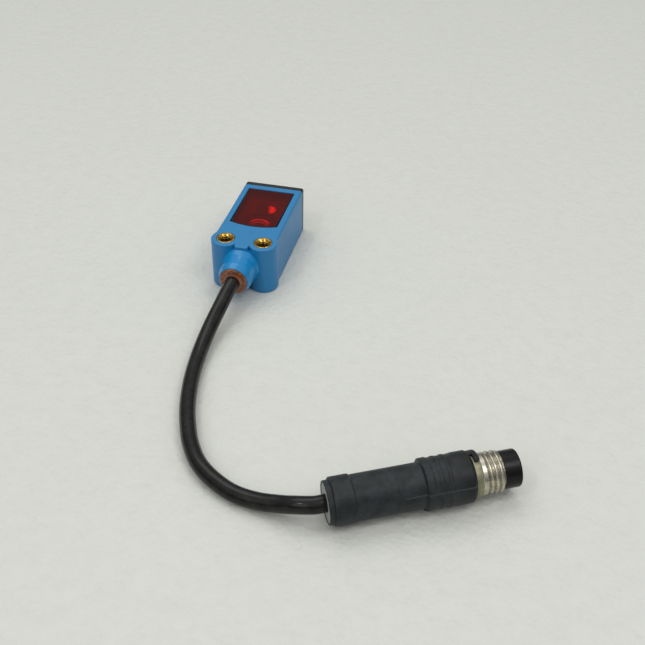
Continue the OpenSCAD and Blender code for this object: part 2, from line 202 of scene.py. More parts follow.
def colours():
    return bpy.context.scene.sensor.colours


# ---- Outlines ----


def unit(v):
    return v / np.linalg.norm(v)


def rounded(corners, steps=6):
    """Closed outline through (x, y, radius) corners, each rounded to its radius."""
    outline = []
    for i, (x, y, radius) in enumerate(corners):
        here = np.array([x, y], float)
        before = unit(np.array(corners[i - 1][:2], float) - here)
        after = unit(np.array(corners[(i + 1) % len(corners)][:2], float) - here)
        angle = math.acos(np.clip(before @ after, -1, 1))
        if radius == 0 or math.pi - angle < 0.02:
            outline.append(here)
            continue
        centre = here + unit(before + after) * radius / math.sin(angle / 2)
        reach = radius / math.tan(angle / 2)
        first = here + before * reach - centre
        last = here + after * reach - centre
        sweep = math.pi - angle
        for k in range(steps + 1):
            s = k / steps
            reached = math.sin((1 - s) * sweep) * first + math.sin(s * sweep) * last
            outline.append(centre + reached / math.sin(sweep))
    return np.array(outline)


def arc(centre, radius, start, end, steps):
    """Points on an arc from start to end, in degrees."""
    angles = np.radians(np.linspace(start, end, steps + 1))
    return np.stack([centre[0] + radius * np.cos(angles), centre[1] + radius * np.sin(angles)], 1)


def smooth_path(points, step):
    """Points about a step apart on a smooth curve through the given ones."""
    points = np.array(points, float)
    padded = np.vstack([2 * points[0] - points[1], points, 2 * points[-1] - points[-2]])
    path = []
    for i in range(1, len(padded) - 2):
        before, start, end, after = padded[i - 1 : i + 3]
        pieces = max(2, round(np.linalg.norm(end - start) / step))
        for s in np.arange(pieces) / pieces:
            path.append(
                0.5 * (2 * start + (end - before) * s + (2 * before - 5 * start + 4 * end - after) * s**2
                       + (3 * start - before - 3 * end + after) * s**3)
            )
    path.append(points[-1])
    return np.array(path)


def thread_radius(crest, root, pitch, u, phase=0.0):
    """Radius of a right-hand thread at height u, as a function of the angle. Its flanks stand at
    60 degrees to each other, its crests are broad and its roots narrow and rounded."""

    def radius(angles):
        turn = u / pitch - angles / TURN + phase
        return root + (crest - root) * (0.5 - 0.5 * np.cos(TURN * turn)) ** 0.5

    return radius


# ---- Meshes ----

# Edges sharper than this show as edges: on plain pieces, and on threads, whose flanks stay smooth
CREASE = math.radians(32)
THREAD_CREASE = math.radians(50)


def new_piece(name, mesh, crease=CREASE):
    """Object of a mesh given in millimetres. It is smooth except at edges sharper than the crease, and
    its large faces stay flat up to their roundings."""
    mesh.transform(Matrix.Scale(MM, 4))
    mesh.shade_smooth()
    mesh.set_sharp_from_angle(angle=crease)
    piece = bpy.data.objects.new(name, mesh)
    bpy.context.scene.collection.objects.link(piece)
    flat = piece.modifiers.new("flat faces", "WEIGHTED_NORMAL")
    flat.keep_sharp = True
    return piece


def tidy_mesh(name, bm):
    """Mesh of a bmesh with doubled points joined and its faces turned outwards."""
    bmesh.ops.remove_doubles(bm, verts=bm.verts, dist=1e-4)
    bmesh.ops.dissolve_degenerate(bm, edges=bm.edges, dist=1e-5)
    bmesh.ops.recalc_face_normals(bm, faces=bm.faces)
    mesh = bpy.data.meshes.new(name)
    bm.to_mesh(mesh)
    bm.free()
    return mesh


def grid_bmesh(rows, capped=False):
    """Quads between rows of points. Each row is a ring; the last row is joined to the first, or both
    are capped with a face."""
    bm = bmesh.new()
    rings = [[bm.verts.new(p) for p in row] for row in rows]
    count = len(rings[0])
    for low, high in zip(rings, rings[1:] if capped else rings[1:] + rings[:1]):
        for j in range(count):
            k = (j + 1) % count
            bm.faces.new((low[j], low[k], high[k], high[j]))
    if capped:
        bm.faces.new(rings[0][::-1])
        bm.faces.new(rings[-1])
    return bm


def turned_bmesh(outline, place, segments=96):
    """Solid of revolution. outline holds (radius, height) along the axis, where a radius may be a
    function of the angle, and place moves it from its own axes."""
    angles = np.arange(segments) * TURN / segments
    rotation = np.array(place.to_3x3())
    shift = np.array(place.translation)
    rows = []
    for radius, height in outline:
        r = radius(angles) if callable(radius) else np.full(segments, float(radius))
        ring = np.stack([r * np.cos(angles), r * np.sin(angles), np.full(segments, float(height))], 1)
        rows.append(ring @ rotation.T + shift)
    return grid_bmesh(rows)


def turned(name, outline, place, segments=96):
    return tidy_mesh(name, turned_bmesh(outline, place, segments))


def box_bmesh(low, high):
    bm = bmesh.new()
    low, high = Vector(low), Vector(high)
    stretch = Matrix.Diagonal((*(high - low), 1))
    bmesh.ops.create_cube(bm, size=1, matrix=Matrix.Translation((low + high) / 2) @ stretch)
    return bm


def joined(name, parts):
    """One mesh of several bmeshes."""
    whole = bmesh.new()
    for part in parts:
        holder = bpy.data.meshes.new("holder")
        part.to_mesh(holder)
        part.free()
        whole.from_mesh(holder)
        bpy.data.meshes.remove(holder)
    return tidy_mesh(name, whole)


def cut_away(mesh, cutters):
    """The mesh with each cutting mesh taken out of it."""
    body = bpy.data.objects.new(mesh.name, mesh)
    bpy.context.scene.collection.objects.link(body)
    tools = []
    for cutter in cutters:
        tool = bpy.data.objects.new("tool", cutter)
        bpy.context.scene.collection.objects.link(tool)
        modifier = body.modifiers.new("cut", "BOOLEAN")
        modifier.operation = "DIFFERENCE"
        modifier.solver = "EXACT"
        modifier.object = tool
        tools.append(tool)
    bpy.context.view_layer.update()
    shaped = bpy.data.meshes.new_from_object(body.evaluated_get(bpy.context.evaluated_depsgraph_get()))
    if len(shaped.polygons) == 0:
        raise RuntimeError(f"cutting {mesh.name} left nothing")
    for used in [body, *tools]:
        data = used.data
        bpy.data.objects.remove(used)
        bpy.data.meshes.remove(data)
    return shaped


def along_y(x, z, sign=-1):
    """Places a turned solid so that its own axis runs from y = 0 along -Y, or with sign 1 along Y."""
    return Matrix.Translation((x, 0, z)) @ Matrix.Rotation(math.radians(-90 * sign), 4, "X")


def upright(x, y):
    return Matrix.Translation((x, y, 0))


def on_plug():
    """Places a turned solid on the plug's axis, measured from its cable end, with its own -X up."""
    along = Vector(PLUG_AXIS)
    side = Vector((0, 0, 1)).cross(along).normalized()
    down = side.cross(along)
    axes = Matrix((down, side, along)).transposed().to_4x4()
    return Matrix.Translation(PLUG_END) @ axes


# ---- Materials ----

# Sockets of a Mix node that mixes colours, whose own names are not unique
FIRST, SECOND, MIXED = 6, 7, 2


def new_material(name):
    """An empty material, its nodes, and the coordinates of the piece that it is on, in metres."""
    material = bpy.data.materials.new(name)
    material.use_nodes = True
    tree = material.node_tree
    tree.nodes.clear()
    return material, tree, add(tree, "TexCoord", output="Object")


def add(tree, kind, inputs=(), output=0, **settings):
    """Adds a node and gives back one of its outputs. inputs holds values and other nodes' outputs, by
    the input's name or number or else in their order; a Map Range node takes the value, what it runs
    from and to, and what that becomes."""
    node = tree.nodes.new("ShaderNode" + kind)
    for name, value in settings.items():
        setattr(node, name, value)
    for key, value in inputs.items() if isinstance(inputs, dict) else enumerate(inputs):
        if isinstance(value, bpy.types.NodeSocket):
            tree.links.new(value, node.inputs[key])
        else:
            node.inputs[key].default_value = value
    return node.outputs[output] if node.outputs else None


def pattern(place, size_mm, **inputs):
    """Inputs of a pattern whose features are about this many millimetres across."""
    return {"Vector": place, "Scale": 1 / (size_mm * MM), **inputs}


def shifted(rgba, factor):
    """A colour made lighter or darker by a factor."""
    return tuple(min(1, c * factor) for c in rgba[:3]) + (1.0,)


def off_centre(tree, place, centre):
    """Each point's way from a centre, seen from above, and its length in metres."""
    middle = (centre[0] * MM, centre[1] * MM, 0)
    off = add(tree, "VectorMath", (place, middle), operation="SUBTRACT")
    level = add(tree, "VectorMath", (off, (1, 1, 0)), operation="MULTIPLY")
    return level, add(tree, "VectorMath", (level,), "Value", operation="LENGTH")


def along_plug(tree, place, direction):
    """How far each point lies from the plug's cable end in a direction, in metres."""
    off = add(tree, "VectorMath", (place, tuple(PLUG_END * MM)), operation="SUBTRACT")
    return add(tree, "VectorMath", (off, tuple(direction)), "Value", operation="DOT_PRODUCT")


def surfaced(material, tones, look):
    """The material with an opaque surface, of a colour mixed from tones and with the inputs in look."""
    tree = material.node_tree
    colour_mixed = add(tree, "Mix", tones, MIXED, data_type="RGBA")
    shader = add(tree, "BsdfPrincipled", {"Base Color": colour_mixed, **look})
    add(tree, "OutputMaterial", {"Surface": shader})
    return material


def moulded_plastic(name, rgba, roughness, grain_mm=0.12, grain_depth=0.004, gloss=0.4, tint=0.06):
    """Injection-moulded plastic. A spark-eroded mould leaves a fine even grain, which breaks up the
    highlights, and the flow of the melt and handling leave the faint, broad changes of tone."""
    material, tree, place = new_material(name)
    broad = add(tree, "TexNoise", pattern(place, 6, Detail=3))
    handled = add(tree, "TexNoise", pattern(place, 1.3, Detail=4, Roughness=0.6))
    grain = add(tree, "TexNoise", pattern(place, grain_mm, Detail=2))
    tones = {0: broad, FIRST: shifted(rgba, 1 - tint), SECOND: shifted(rgba, 1 + tint)}
    look = {
        "Roughness": add(tree, "MapRange", (handled, 0.3, 0.7, roughness - 0.06, roughness + 0.06)),
        "IOR": 1.52,
        "Specular IOR Level": gloss,
        "Normal": add(tree, "Bump", {"Height": grain, "Distance": grain_depth * MM}),
    }
    return surfaced(material, tones, look)


def tinted_window(rgba):
    """Polycarbonate dyed deep red to pass only the sender's light. Its polished face mirrors the room,
    the dye itself glows faintly, and what is behind it shows in red alone."""
    material, tree, place = new_material("red tinted polycarbonate, polished")
    haze = add(tree, "TexNoise", pattern(place, 2.2, Detail=4))
    dust = add(tree, "TexNoise", pattern(place, 0.3, Detail=3))
    tones = {0: haze, FIRST: shifted(rgba, 0.75), SECOND: shifted(rgba, 1.25)}
    look = {
        "Base Color": add(tree, "Mix", tones, MIXED, data_type="RGBA"),
        "Roughness": add(tree, "MapRange", (dust, 0.35, 0.75, 0.04, 0.1)),
        "IOR": 1.58,
        "Specular IOR Level": 0.3,
    }
    body = add(tree, "BsdfPrincipled", look)
    through = add(tree, "BsdfTransparent", {"Color": linear("#f35942")})
    clear_share = 0.62
    add(tree, "OutputMaterial", {"Surface": add(tree, "MixShader", (clear_share, body, through))})
    return material


def lens_acrylic(name, centre, ring_r, half_width, bearing, reach, painted_glow):
    """Moulded optical acrylic: clear, with a mirror-like face, and a painted glint: a bright crescent is
    painted on and made to glow, standing in for light that the lens gathers. centre is the lens's
    middle, and the painted crescent lies at ring_r from it and is half_width wide, at a bearing and over
    a reach in degrees."""
    material, tree, place = new_material(name)
    flow = add(tree, "TexNoise", pattern(place, 1.5, Detail=2))
    level, far = off_centre(tree, place, centre)
    turn = math.radians(bearing)
    towards = (math.cos(turn), math.sin(turn), 0)
    along = add(tree, "VectorMath", (level, towards), "Value", operation="DOT_PRODUCT")
    facing = add(tree, "Math", (along, far), operation="DIVIDE")
    from_ring = add(tree, "Math", (far, ring_r * MM), operation="SUBTRACT")
    width = add(tree, "Math", (from_ring,), operation="ABSOLUTE")
    ring = add(tree, "MapRange", (width, 0.3 * half_width * MM, half_width * MM, 1, 0))
    ends = math.cos(math.radians(reach))
    sector = add(tree, "MapRange", (facing, ends, ends + 0.5, 0, 1))
    # Painted glint: inside the crescent the lens is painted light, glows and lets less through, though
    # it is no lamp.
    painted_glint = add(tree, "Math", (ring, sector), operation="MULTIPLY")
    tones = {0: painted_glint, FIRST: linear("#4d4442"), SECOND: linear("#f4e9e4")}
    look = {
        "Base Color": add(tree, "Mix", tones, MIXED, data_type="RGBA"),
        "Roughness": add(tree, "MapRange", (flow, 0, 1, 0.03, 0.1)),
        "IOR": 1.49,
        "Emission Color": linear("#ffc4aa"),
        "Emission Strength": add(tree, "MapRange", (painted_glint, 0, 1, 0, painted_glow)),
    }
    glass = add(tree, "BsdfPrincipled", look)
    through = add(tree, "BsdfTransparent", {"Color": linear("#e7e5e3")})
    clear_share = add(tree, "MapRange", (painted_glint, 0, 1, 0.45, 0))
    add(tree, "OutputMaterial", {"Surface": add(tree, "MixShader", (clear_share, glass, through))})
    return material


def carrier_with_painted_shade(centre):
    """Polycarbonate filled with carbon: dark grey and matt, with painted shade around the receiver at
    centre, where a ring is painted nearly black."""
    shade_ring_painted_r = 4.4
    material, tree, place = new_material("carbon-filled polycarbonate, matt")
    flow = add(tree, "TexNoise", pattern(place, 2.5, Detail=3))
    grain = add(tree, "TexNoise", pattern(place, 0.2, Detail=3))
    far = off_centre(tree, place, centre)[1]
    # Painted shade: a ring around the receiver is painted nearly black.
    shade_ring_painted = add(tree, "MapRange", (far, shade_ring_painted_r * MM, (shade_ring_painted_r + 1) * MM, 1, 0))
    streaks = add(tree, "MapRange", (flow, 0.3, 0.7, 0, 1))
    greys = {0: streaks, FIRST: linear("#6a6865"), SECOND: linear("#898580")}
    plain = add(tree, "Mix", greys, MIXED, data_type="RGBA")
    tones = {0: shade_ring_painted, FIRST: plain, SECOND: linear("#151416")}
    look = {
        "Roughness": add(tree, "MapRange", (grain, 0, 1, 0.5, 0.7)),
        "IOR": 1.58,
        "Specular IOR Level": 0.25,
        "Normal": add(tree, "Bump", {"Height": grain, "Distance": 0.01 * MM}),
    }
    return surfaced(material, tones, look)


def turned_brass(rgba):
    """Free-cutting brass straight from the lathe: yellow and bright, dulled by a thin brown film in
    places, and with painted shade down in the bore, which is painted darker the deeper it goes."""
    material, tree, place = new_material("turned brass")
    film = add(tree, "TexNoise", pattern(place, 0.5, Detail=4, Roughness=0.65))
    marks = add(tree, "TexNoise", pattern(place, 0.06, Detail=2))
    height = add(tree, "SeparateXYZ", (place,), "Z")
    # Painted shade: below its mouth the bore is painted nearly black.
    inside = add(tree, "MapRange", (height, (DEPTH - 1.3) * MM, (DEPTH - 0.45) * MM, 1, 0))
    stained = add(tree, "MapRange", (film, 0.4, 0.62, 0, 1))
    worn = {0: stained, FIRST: rgba, SECOND: shifted(rgba, 0.3)}
    mouth = add(tree, "Mix", worn, MIXED, data_type="RGBA")
    tones = {0: inside, FIRST: mouth, SECOND: shifted(rgba, 0.05)}
    look = {
        "Metallic": 1.0,
        "Roughness": add(tree, "MapRange", (film, 0.3, 0.7, 0.12, 0.26)),
        "Normal": add(tree, "Bump", {"Height": marks, "Distance": 0.002 * MM}),
    }
    return surfaced(material, tones, look)


def plated_metal(name, rgba, roughness=0.2, film_mm=1.2, dull=0.7):
    """Electroplated metal: smooth and bright, with a slightly uneven film where it was handled."""
    material, tree, place = new_material(name)
    film = add(tree, "TexNoise", pattern(place, film_mm, Detail=4, Roughness=0.6))
    marks = add(tree, "TexNoise", pattern(place, 0.1, Detail=2))
    cover = add(tree, "MapRange", (film, 0.4, 0.75, 0, 1))
    tones = {0: cover, FIRST: rgba, SECOND: shifted(rgba, dull)}
    look = {
        "Metallic": 1.0,
        "Roughness": add(tree, "MapRange", (film, 0.3, 0.7, roughness - 0.05, roughness + 0.1)),
        "Normal": add(tree, "Bump", {"Height": marks, "Distance": 0.002 * MM}),
    }
    return surfaced(material, tones, look)


def potting_resin(rgba):
    """Epoxy cast around the cable: brown and translucent, orange where it is thin, with a wet-looking
    skin and small bubbles."""
    material, tree, place = new_material("cast epoxy, amber")
    cloud = add(tree, "TexNoise", pattern(place, 1.1, Detail=4, Roughness=0.6))
    bubbles = add(tree, "TexVoronoi", pattern(place, 0.9))
    skin = add(tree, "TexNoise", pattern(place, 1.7, Detail=2))
    thick = add(tree, "MapRange", (cloud, 0.38, 0.66, 0, 1))
    tones = {0: thick, FIRST: rgba, SECOND: shifted(rgba, 0.28)}
    pits = add(tree, "MapRange", (bubbles, 0.1, 0.5, 0, 0.06))
    relief = add(tree, "Math", (skin, pits), operation="ADD")
    look = {
        "Roughness": add(tree, "MapRange", (cloud, 0.3, 0.7, 0.12, 0.3)),
        "IOR": 1.55,
        "Subsurface Weight": 0.2,
        "Subsurface Scale": 0.8 * MM,
        "Subsurface Radius": (1.0, 0.4, 0.12),
        "Normal": add(tree, "Bump", {"Height": relief, "Distance": 0.3 * MM}),
        "Coat Weight": 0.7,
        "Coat Roughness": 0.08,
        "Coat Normal": add(tree, "Bump", {"Height": skin, "Distance": 0.6 * MM}),
    }
    return surfaced(material, tones, look)


def cable_jacket(rgba):
    """Extruded polyurethane: dark, with a soft sheen along its length and a film of pale dust."""
    material, tree, place = new_material("extruded polyurethane jacket")
    film = add(tree, "TexNoise", pattern(place, 2.2, Detail=5, Roughness=0.65))
    specks = add(tree, "TexNoise", pattern(place, 0.18, Detail=3))
    dust = add(tree, "MapRange", (film, 0.4, 0.75, 0, 1))
    clinging = add(tree, "MapRange", (specks, 0.4, 0.65, 0.1, 0.55))
    cover = add(tree, "Math", (dust, clinging), operation="MULTIPLY")
    tones = {0: cover, FIRST: rgba, SECOND: linear("#403f3a")}
    look = {
        "Roughness": add(tree, "MapRange", (cover, 0, 1, 0.15, 0.45)),
        "IOR": 1.5,
        "Specular IOR Level": 0.23,
        "Normal": add(tree, "Bump", {"Height": specks, "Distance": 0.004 * MM}),
    }
    return surfaced(material, tones, look)


def moulded_rubber(name, rgba, roughness=0.55, dust_share=0.35, parting=None):
    """Moulded thermoplastic rubber: matt with a fine grain, and grey where dust clings to it. parting is
    the normal of the plane the mould parts on and where its line starts along the plug. The line is
    painted lighter, partly wear and partly a painted highlight of its ridge, and the grip is less grey,
    so darker, towards the plug's far end."""
    material, tree, place = new_material(name)
    film = add(tree, "TexNoise", pattern(place, 2.6, Detail=6, Roughness=0.7))
    grain = add(tree, "TexNoise", pattern(place, 0.14, Detail=3))
    dust = add(tree, "MapRange", (film, 0.35, 0.68, 0, dust_share))
    clinging = add(tree, "MapRange", (grain, 0.35, 0.65, 0.3, 1))
    cover = add(tree, "Math", (dust, clinging), operation="MULTIPLY")
    if parting:
        normal, start = parting
        beside = add(tree, "Math", (along_plug(tree, place, normal),), operation="ABSOLUTE")
        # The parting line is painted lighter: partly wear, partly a painted highlight of its ridge.
        line = add(tree, "MapRange", (beside, 0.06 * MM, 0.24 * MM, 0.4, 0))
        along = along_plug(tree, place, PLUG_AXIS)
        begun = add(tree, "MapRange", (along, (start - 0.2) * MM, start * MM, 0, 1))
        worn = add(tree, "Math", (line, begun), operation="MULTIPLY")
        # Less grey towards the plug's far end, so the grip is darker there.
        less_grey_to_front = add(tree, "MapRange", (along, (GRIP_END - 4.5) * MM, (GRIP_END - 1.5) * MM, 1, 0))
        dusty = add(tree, "Math", (cover, less_grey_to_front), operation="MULTIPLY")
        cover = add(tree, "Math", (dusty, worn), operation="MAXIMUM")
    tones = {0: cover, FIRST: rgba, SECOND: linear("#525b60")}
    look = {
        "Roughness": add(tree, "MapRange", (cover, 0, 1, roughness - 0.08, roughness + 0.15)),
        "IOR": 1.5,
        "Specular IOR Level": 0.28,
        "Normal": add(tree, "Bump", {"Height": grain, "Distance": 0.01 * MM}),
    }
    return surfaced(material, tones, look)


def light_pipe_plastic(name, hex_colour):
    """Dyed polycarbonate: clear enough to carry the lamp's light, and bright at its polished end."""
    rgba = linear(hex_colour)
    material, tree, place = new_material(name)
    cloud = add(tree, "TexNoise", pattern(place, 0.8, Detail=3))
    tones = {0: cloud, FIRST: shifted(rgba, 0.85), SECOND: shifted(rgba, 1.15)}
    look = {
        "Roughness": add(tree, "MapRange", (cloud, 0, 1, 0.15, 0.25)),
        "IOR": 1.58,
        "Subsurface Weight": 0.5,
        "Subsurface Scale": 0.6 * MM,
        "Coat Weight": 0.4,
    }
    return surfaced(material, tones, look)


def solder_mask():
    """Glass-fibre board under green solder mask: the weave shows as a faint relief and copper tracks
    as lighter bands."""
    material, tree, place = new_material("glass-fibre board, green solder mask")
    layout = {**pattern(place, 2.4), "Mortar Size": 0.06, "Mortar Smooth": 0.2}
    tracks = add(tree, "TexBrick", layout, "Fac")
    weave = add(tree, "TexWave", pattern(place, 1.2, Distortion=1.0), "Fac")
    tones = {0: tracks, FIRST: linear("#175433"), SECOND: linear("#2c7a4c")}
    look = {
        "Roughness": add(tree, "MapRange", (weave, 0, 1, 0.3, 0.42)),
        "IOR": 1.55,
        "Normal": add(tree, "Bump", {"Height": weave, "Distance": 0.01 * MM}),
        "Coat Weight": 0.3,
        "Coat Roughness": 0.15,
    }
    return surfaced(material, tones, look)


def laid_board(rgba):
    """White-grey board covered in embossed film: pale and even, nearly without gloss, with a fine
    woven relief and faint larger unevenness that lamps bring out."""
    material, tree, place = new_material("embossed film on board")
    broad = add(tree, "TexNoise", pattern(place, 45, Detail=3))
    mottle = add(tree, "TexNoise", pattern(place, 3.5, Detail=5, Roughness=0.6))
    slant = add(tree, "Mapping", {"Vector": place, "Rotation": (0, 0, math.radians(28))})
    weave = add(tree, "TexVoronoi", pattern(slant, 1.3, Randomness=0.9))
    even = {0: broad, FIRST: shifted(rgba, 0.98), SECOND: shifted(rgba, 1.02)}
    tone = add(tree, "Mix", even, MIXED, data_type="RGBA")
    spots = add(tree, "MapRange", (mottle, 0.35, 0.7, 0, 0.6))
    tones = {0: spots, FIRST: tone, SECOND: shifted(rgba, 0.95)}
    pressed = add(tree, "MapRange", (mottle, 0.3, 0.7, 0.2, 1))
    relief = add(tree, "Math", (weave, pressed), operation="MULTIPLY")
    look = {
        "Roughness": add(tree, "MapRange", (mottle, 0, 1, 0.5, 0.62)),
        "IOR": 1.45,
        "Specular IOR Level": 0.35,
        "Normal": add(tree, "Bump", {"Height": relief, "Distance": 0.22 * MM}),
    }
    return surfaced(material, tones, look)


def give(piece, material):
    piece.data.materials.clear()
    piece.data.materials.append(material)


def stand_for(piece, material, node):
    """Makes a piece the looks of a CAD node: its material, its body, and the node it hides."""
    give(piece, material)
    body = next(name for name, nodes in frame["record"]["behaviour"]["bodies"].items() if node in nodes)
    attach(piece, body)
    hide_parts(node)


def dress(node, material):
    """Gives a CAD node that is shown as it is its material."""
    give(frame["nodes"][node], material)


# ---- Stage ----


def build_camera():
    camera = bpy.data.cameras.new("camera")
    camera.lens = 55.91
    camera.clip_start = 0.01
    view = bpy.data.objects.new("camera", camera)
    view.location = Vector((63.27, -187.65, 140.43)) * MM
    view.rotation_euler = [math.radians(a) for a in (52.279, -0.433, 13.605)]
    bpy.context.scene.collection.objects.link(view)
    bpy.context.scene.camera = view


def add_lamp(name, place, target, size, watts):
    """Soft area lamp, in millimetres, aimed at a point."""
    lamp = bpy.data.lights.new(name, "AREA")
    lamp.shape = "RECTANGLE"
    lamp.size, lamp.size_y = (s * MM for s in size)
    lamp.energy = watts
    holder = bpy.data.objects.new(name, lamp)
    holder.location = Vector(place) * MM
    aim = Vector(target) * MM - holder.location
    holder.rotation_euler = aim.to_track_quat("-Z", "Y").to_euler()
    bpy.context.scene.collection.objects.link(holder)


def build_room():
    """Soft room light: bright overhead and dimmer towards the horizon."""
    room = bpy.data.worlds.new("soft room")
    room.use_nodes = True
    tree = room.node_tree
    height = add(tree, "SeparateXYZ", (add(tree, "TexCoord", output="Generated"),), "Z")
    background = tree.nodes["Background"]
    background.inputs["Color"].default_value = linear("#f6f7f6")
    strength = add(tree, "MapRange", (height, 0.25, 0.85, 0.22, 0.95))
    tree.links.new(strength, background.inputs["Strength"])
    bpy.context.scene.world = room


def build_stage():
    bm = bmesh.new()
    bmesh.ops.create_grid(bm, x_segments=4, y_segments=4, size=1500)
    floor = new_piece("floor", tidy_mesh("floor", bm))
    give(floor, laid_board(colours().floor))
    add_lamp("ceiling lamp", (-170, 230, 620), (20, -20, 0), (500, 360), 0.82)
    add_lamp("second lamp", (300, -130, 500), (40, -30, 0), (240, 190), 0.54)
    add_lamp("front window", (-130, -430, 330), (20, -40, 0), (300, 240), 0.24)
    add_lamp("front spot", (-150, -310, 490), (0, 0, 0), (46, 40), 0.22)
    build_room()
    bpy.context.scene.view_settings.view_transform = "Standard"


# ---- Cable ----


def plug_point(u):
    return PLUG_END + u * PLUG_AXIS


def tube_rows(path, radius, sides):
    """Rings around a path, with no twist from one to the next."""
    along = np.gradient(path, axis=0)
    side = unit(np.cross(along[0], [0, 0, 1]))
    rows = []
    for point, direction in zip(path, along):
        forward = unit(direction)
        side = unit(side - (side @ forward) * forward)
        over = np.cross(side, forward)
        angles = np.arange(sides) * TURN / sides
        rows.append(point + radius * (np.outer(np.cos(angles), side) + np.outer(np.sin(angles), over)))
    return rows


def build_cable():
    route = CABLE_ROUTE + [tuple(plug_point(u)) for u in (-2, 0, 4, 9, JACKET_END)]
    path = smooth_path(route, 0.7)
    bm = grid_bmesh(tube_rows(path, CABLE_R, 32), capped=True)
    cable = new_piece("jacket", tidy_mesh("cable", bm))
    stand_for(cable, cable_jacket(colours().cable), "cable")
    return cable, path


# ---- Housing, window and cap ----


def housing_outline():
    """Outline of the housing from above with, for each point, the rounding of its edge on the window
    side and the direction in which that rounding draws it in."""
    edge, boss_edge = sizes().long_edge / MM, sizes().boss_edge / MM
    web_angle = math.degrees(math.acos((INSERT_X - WEB_HALF) / BOSS_R))
    wall_angle = math.degrees(math.acos((HALF_WIDTH - INSERT_X) / BOSS_R))
    boss = arc((INSERT_X, 0), BOSS_R, 180 + web_angle, 360 + wall_angle, 48)
    web = rounded([(0, -WEB_FRONT, 0), (WEB_HALF, -WEB_FRONT, 0.8), tuple(boss[0]) + (0,)], 6)[:-1]
    wall = [(HALF_WIDTH, y) for y in (2.6, 4, 8, 14, 20, CAP_JOINT)]
    right = np.array([*web, *boss, *wall])
    radii = np.array([boss_edge] * (len(web) + len(boss)) + [boss_edge + 0.1, edge - 0.1] + [edge] * 4)
    ahead = np.vstack([right[1:], [[0, CAP_JOINT]]])
    behind = np.vstack([[[-0.2, -WEB_FRONT]], right[:-1]])
    tangents = ahead - behind
    inwards = np.stack([-tangents[:, 1], tangents[:, 0]], 1)
    inwards /= np.linalg.norm(inwards, axis=1)[:, None]
    inwards[len(web) + len(boss) :] = (-1, 0)
    mirror = np.array([-1, 1])
    outline = np.vstack([right, (right * mirror)[:0:-1]])
    drawn = np.vstack([inwards, (inwards * mirror)[:0:-1]])
    return outline, drawn, np.concatenate([radii, radii[:0:-1]])


def rounded_stack(outline, inwards, low_radii, high_radii, low, high, steps=6):
    """Rows of an upright solid whose lower and upper edges are rounded to each point's radius."""
    rows = []
    for k in range(steps + 1):
        a = math.pi / 2 * k / steps
        inset = low_radii * (1 - math.sin(a))
        flat = outline + inwards * inset[:, None]
        rows.append(np.column_stack([flat, low + low_radii * (1 - math.cos(a))]))
    for k in range(steps + 1):
        a = math.pi / 2 * k / steps
        inset = high_radii * (1 - math.cos(a))
        flat = outline + inwards * inset[:, None]
        rows.append(np.column_stack([flat, high - high_radii * (1 - math.sin(a))]))
    return rows


def window_outline(grow=0.0):
    """Outline of the window, counter-clockwise from the left end of its curved edge."""
    half = WINDOW_HIGH[0] + grow
    sag = sizes().window_sag / MM
    radius = (WINDOW_HIGH[0] ** 2 + sag**2) / (2 * sag) + grow
    centre = (0, WINDOW_LOW[1] + radius - grow)
    reach = math.degrees(math.asin(half / radius))
    bow = arc(centre, radius, 270 - reach, 270 + reach, 28)
    top = [(half, WINDOW_HIGH[1] + grow), (-half, WINDOW_HIGH[1] + grow)]
    return np.vstack([bow, top])


def flat_rows(outline, levels):
    return [np.column_stack([outline, np.full(len(outline), z)]) for z in levels]


def build_housing():
    outline, inwards, radii = housing_outline()
    rear = np.full(len(outline), sizes().rear_edge / MM)
    rows = rounded_stack(outline, inwards, rear, radii, 0, DEPTH)
    block = tidy_mesh("housing", grid_bmesh(rows, capped=True))
    gap = sizes().window_gap / MM
    seat = grid_bmesh(
        flat_rows(window_outline(gap), (WINDOW_LOW[2], DEPTH - 0.06))
        + flat_rows(window_outline(gap + 0.06), (DEPTH + 0.02, DEPTH + 1)),
        capped=True,
    )
    inner = HALF_WIDTH - WALL
    sag_room = 1.65
    cutters = [
        tidy_mesh("seat", seat),
        tidy_mesh("cavity", box_bmesh((-inner, CAVITY_Y, WALL), (inner, CAP_JOINT + 1, LEDGE_Z))),
        tidy_mesh(
            "opening",
            box_bmesh(
                (WINDOW_LOW[0] + LEDGE, WINDOW_LOW[1] + sag_room, LEDGE_Z - 0.5),
                (WINDOW_HIGH[0] - LEDGE, WINDOW_HIGH[1] - LEDGE, WINDOW_LOW[2] + 0.5),
            ),
        ),
    ]
    hole_r = span("insert_right")[1][0] - INSERT_X + CLEARANCE
    hole = [
        (0, -1), (hole_r, -1), (hole_r, DEPTH - 0.08), (hole_r + 0.08, DEPTH),
        (hole_r + 0.08, DEPTH + 1), (0, DEPTH + 1),
    ]
    cutters += [turned("hole", hole, upright(side * INSERT_X, 0), 64) for side in (-1, 1)]
    inside, outside = -CAVITY_Y - 1, WEB_FRONT + 1
    channel = [(0, inside), (CABLE_CHANNEL_R, inside), (CABLE_CHANNEL_R, outside), (0, outside)]
    cutters.append(turned("channel", channel, along_y(0, OUTLET_Z), 48))
    housing = new_piece("housing_shell", cut_away(block, cutters))
    plastic = moulded_plastic("blue polyester, moulded", colours().housing, 0.38, gloss=0.45)
    stand_for(housing, plastic, "housing")


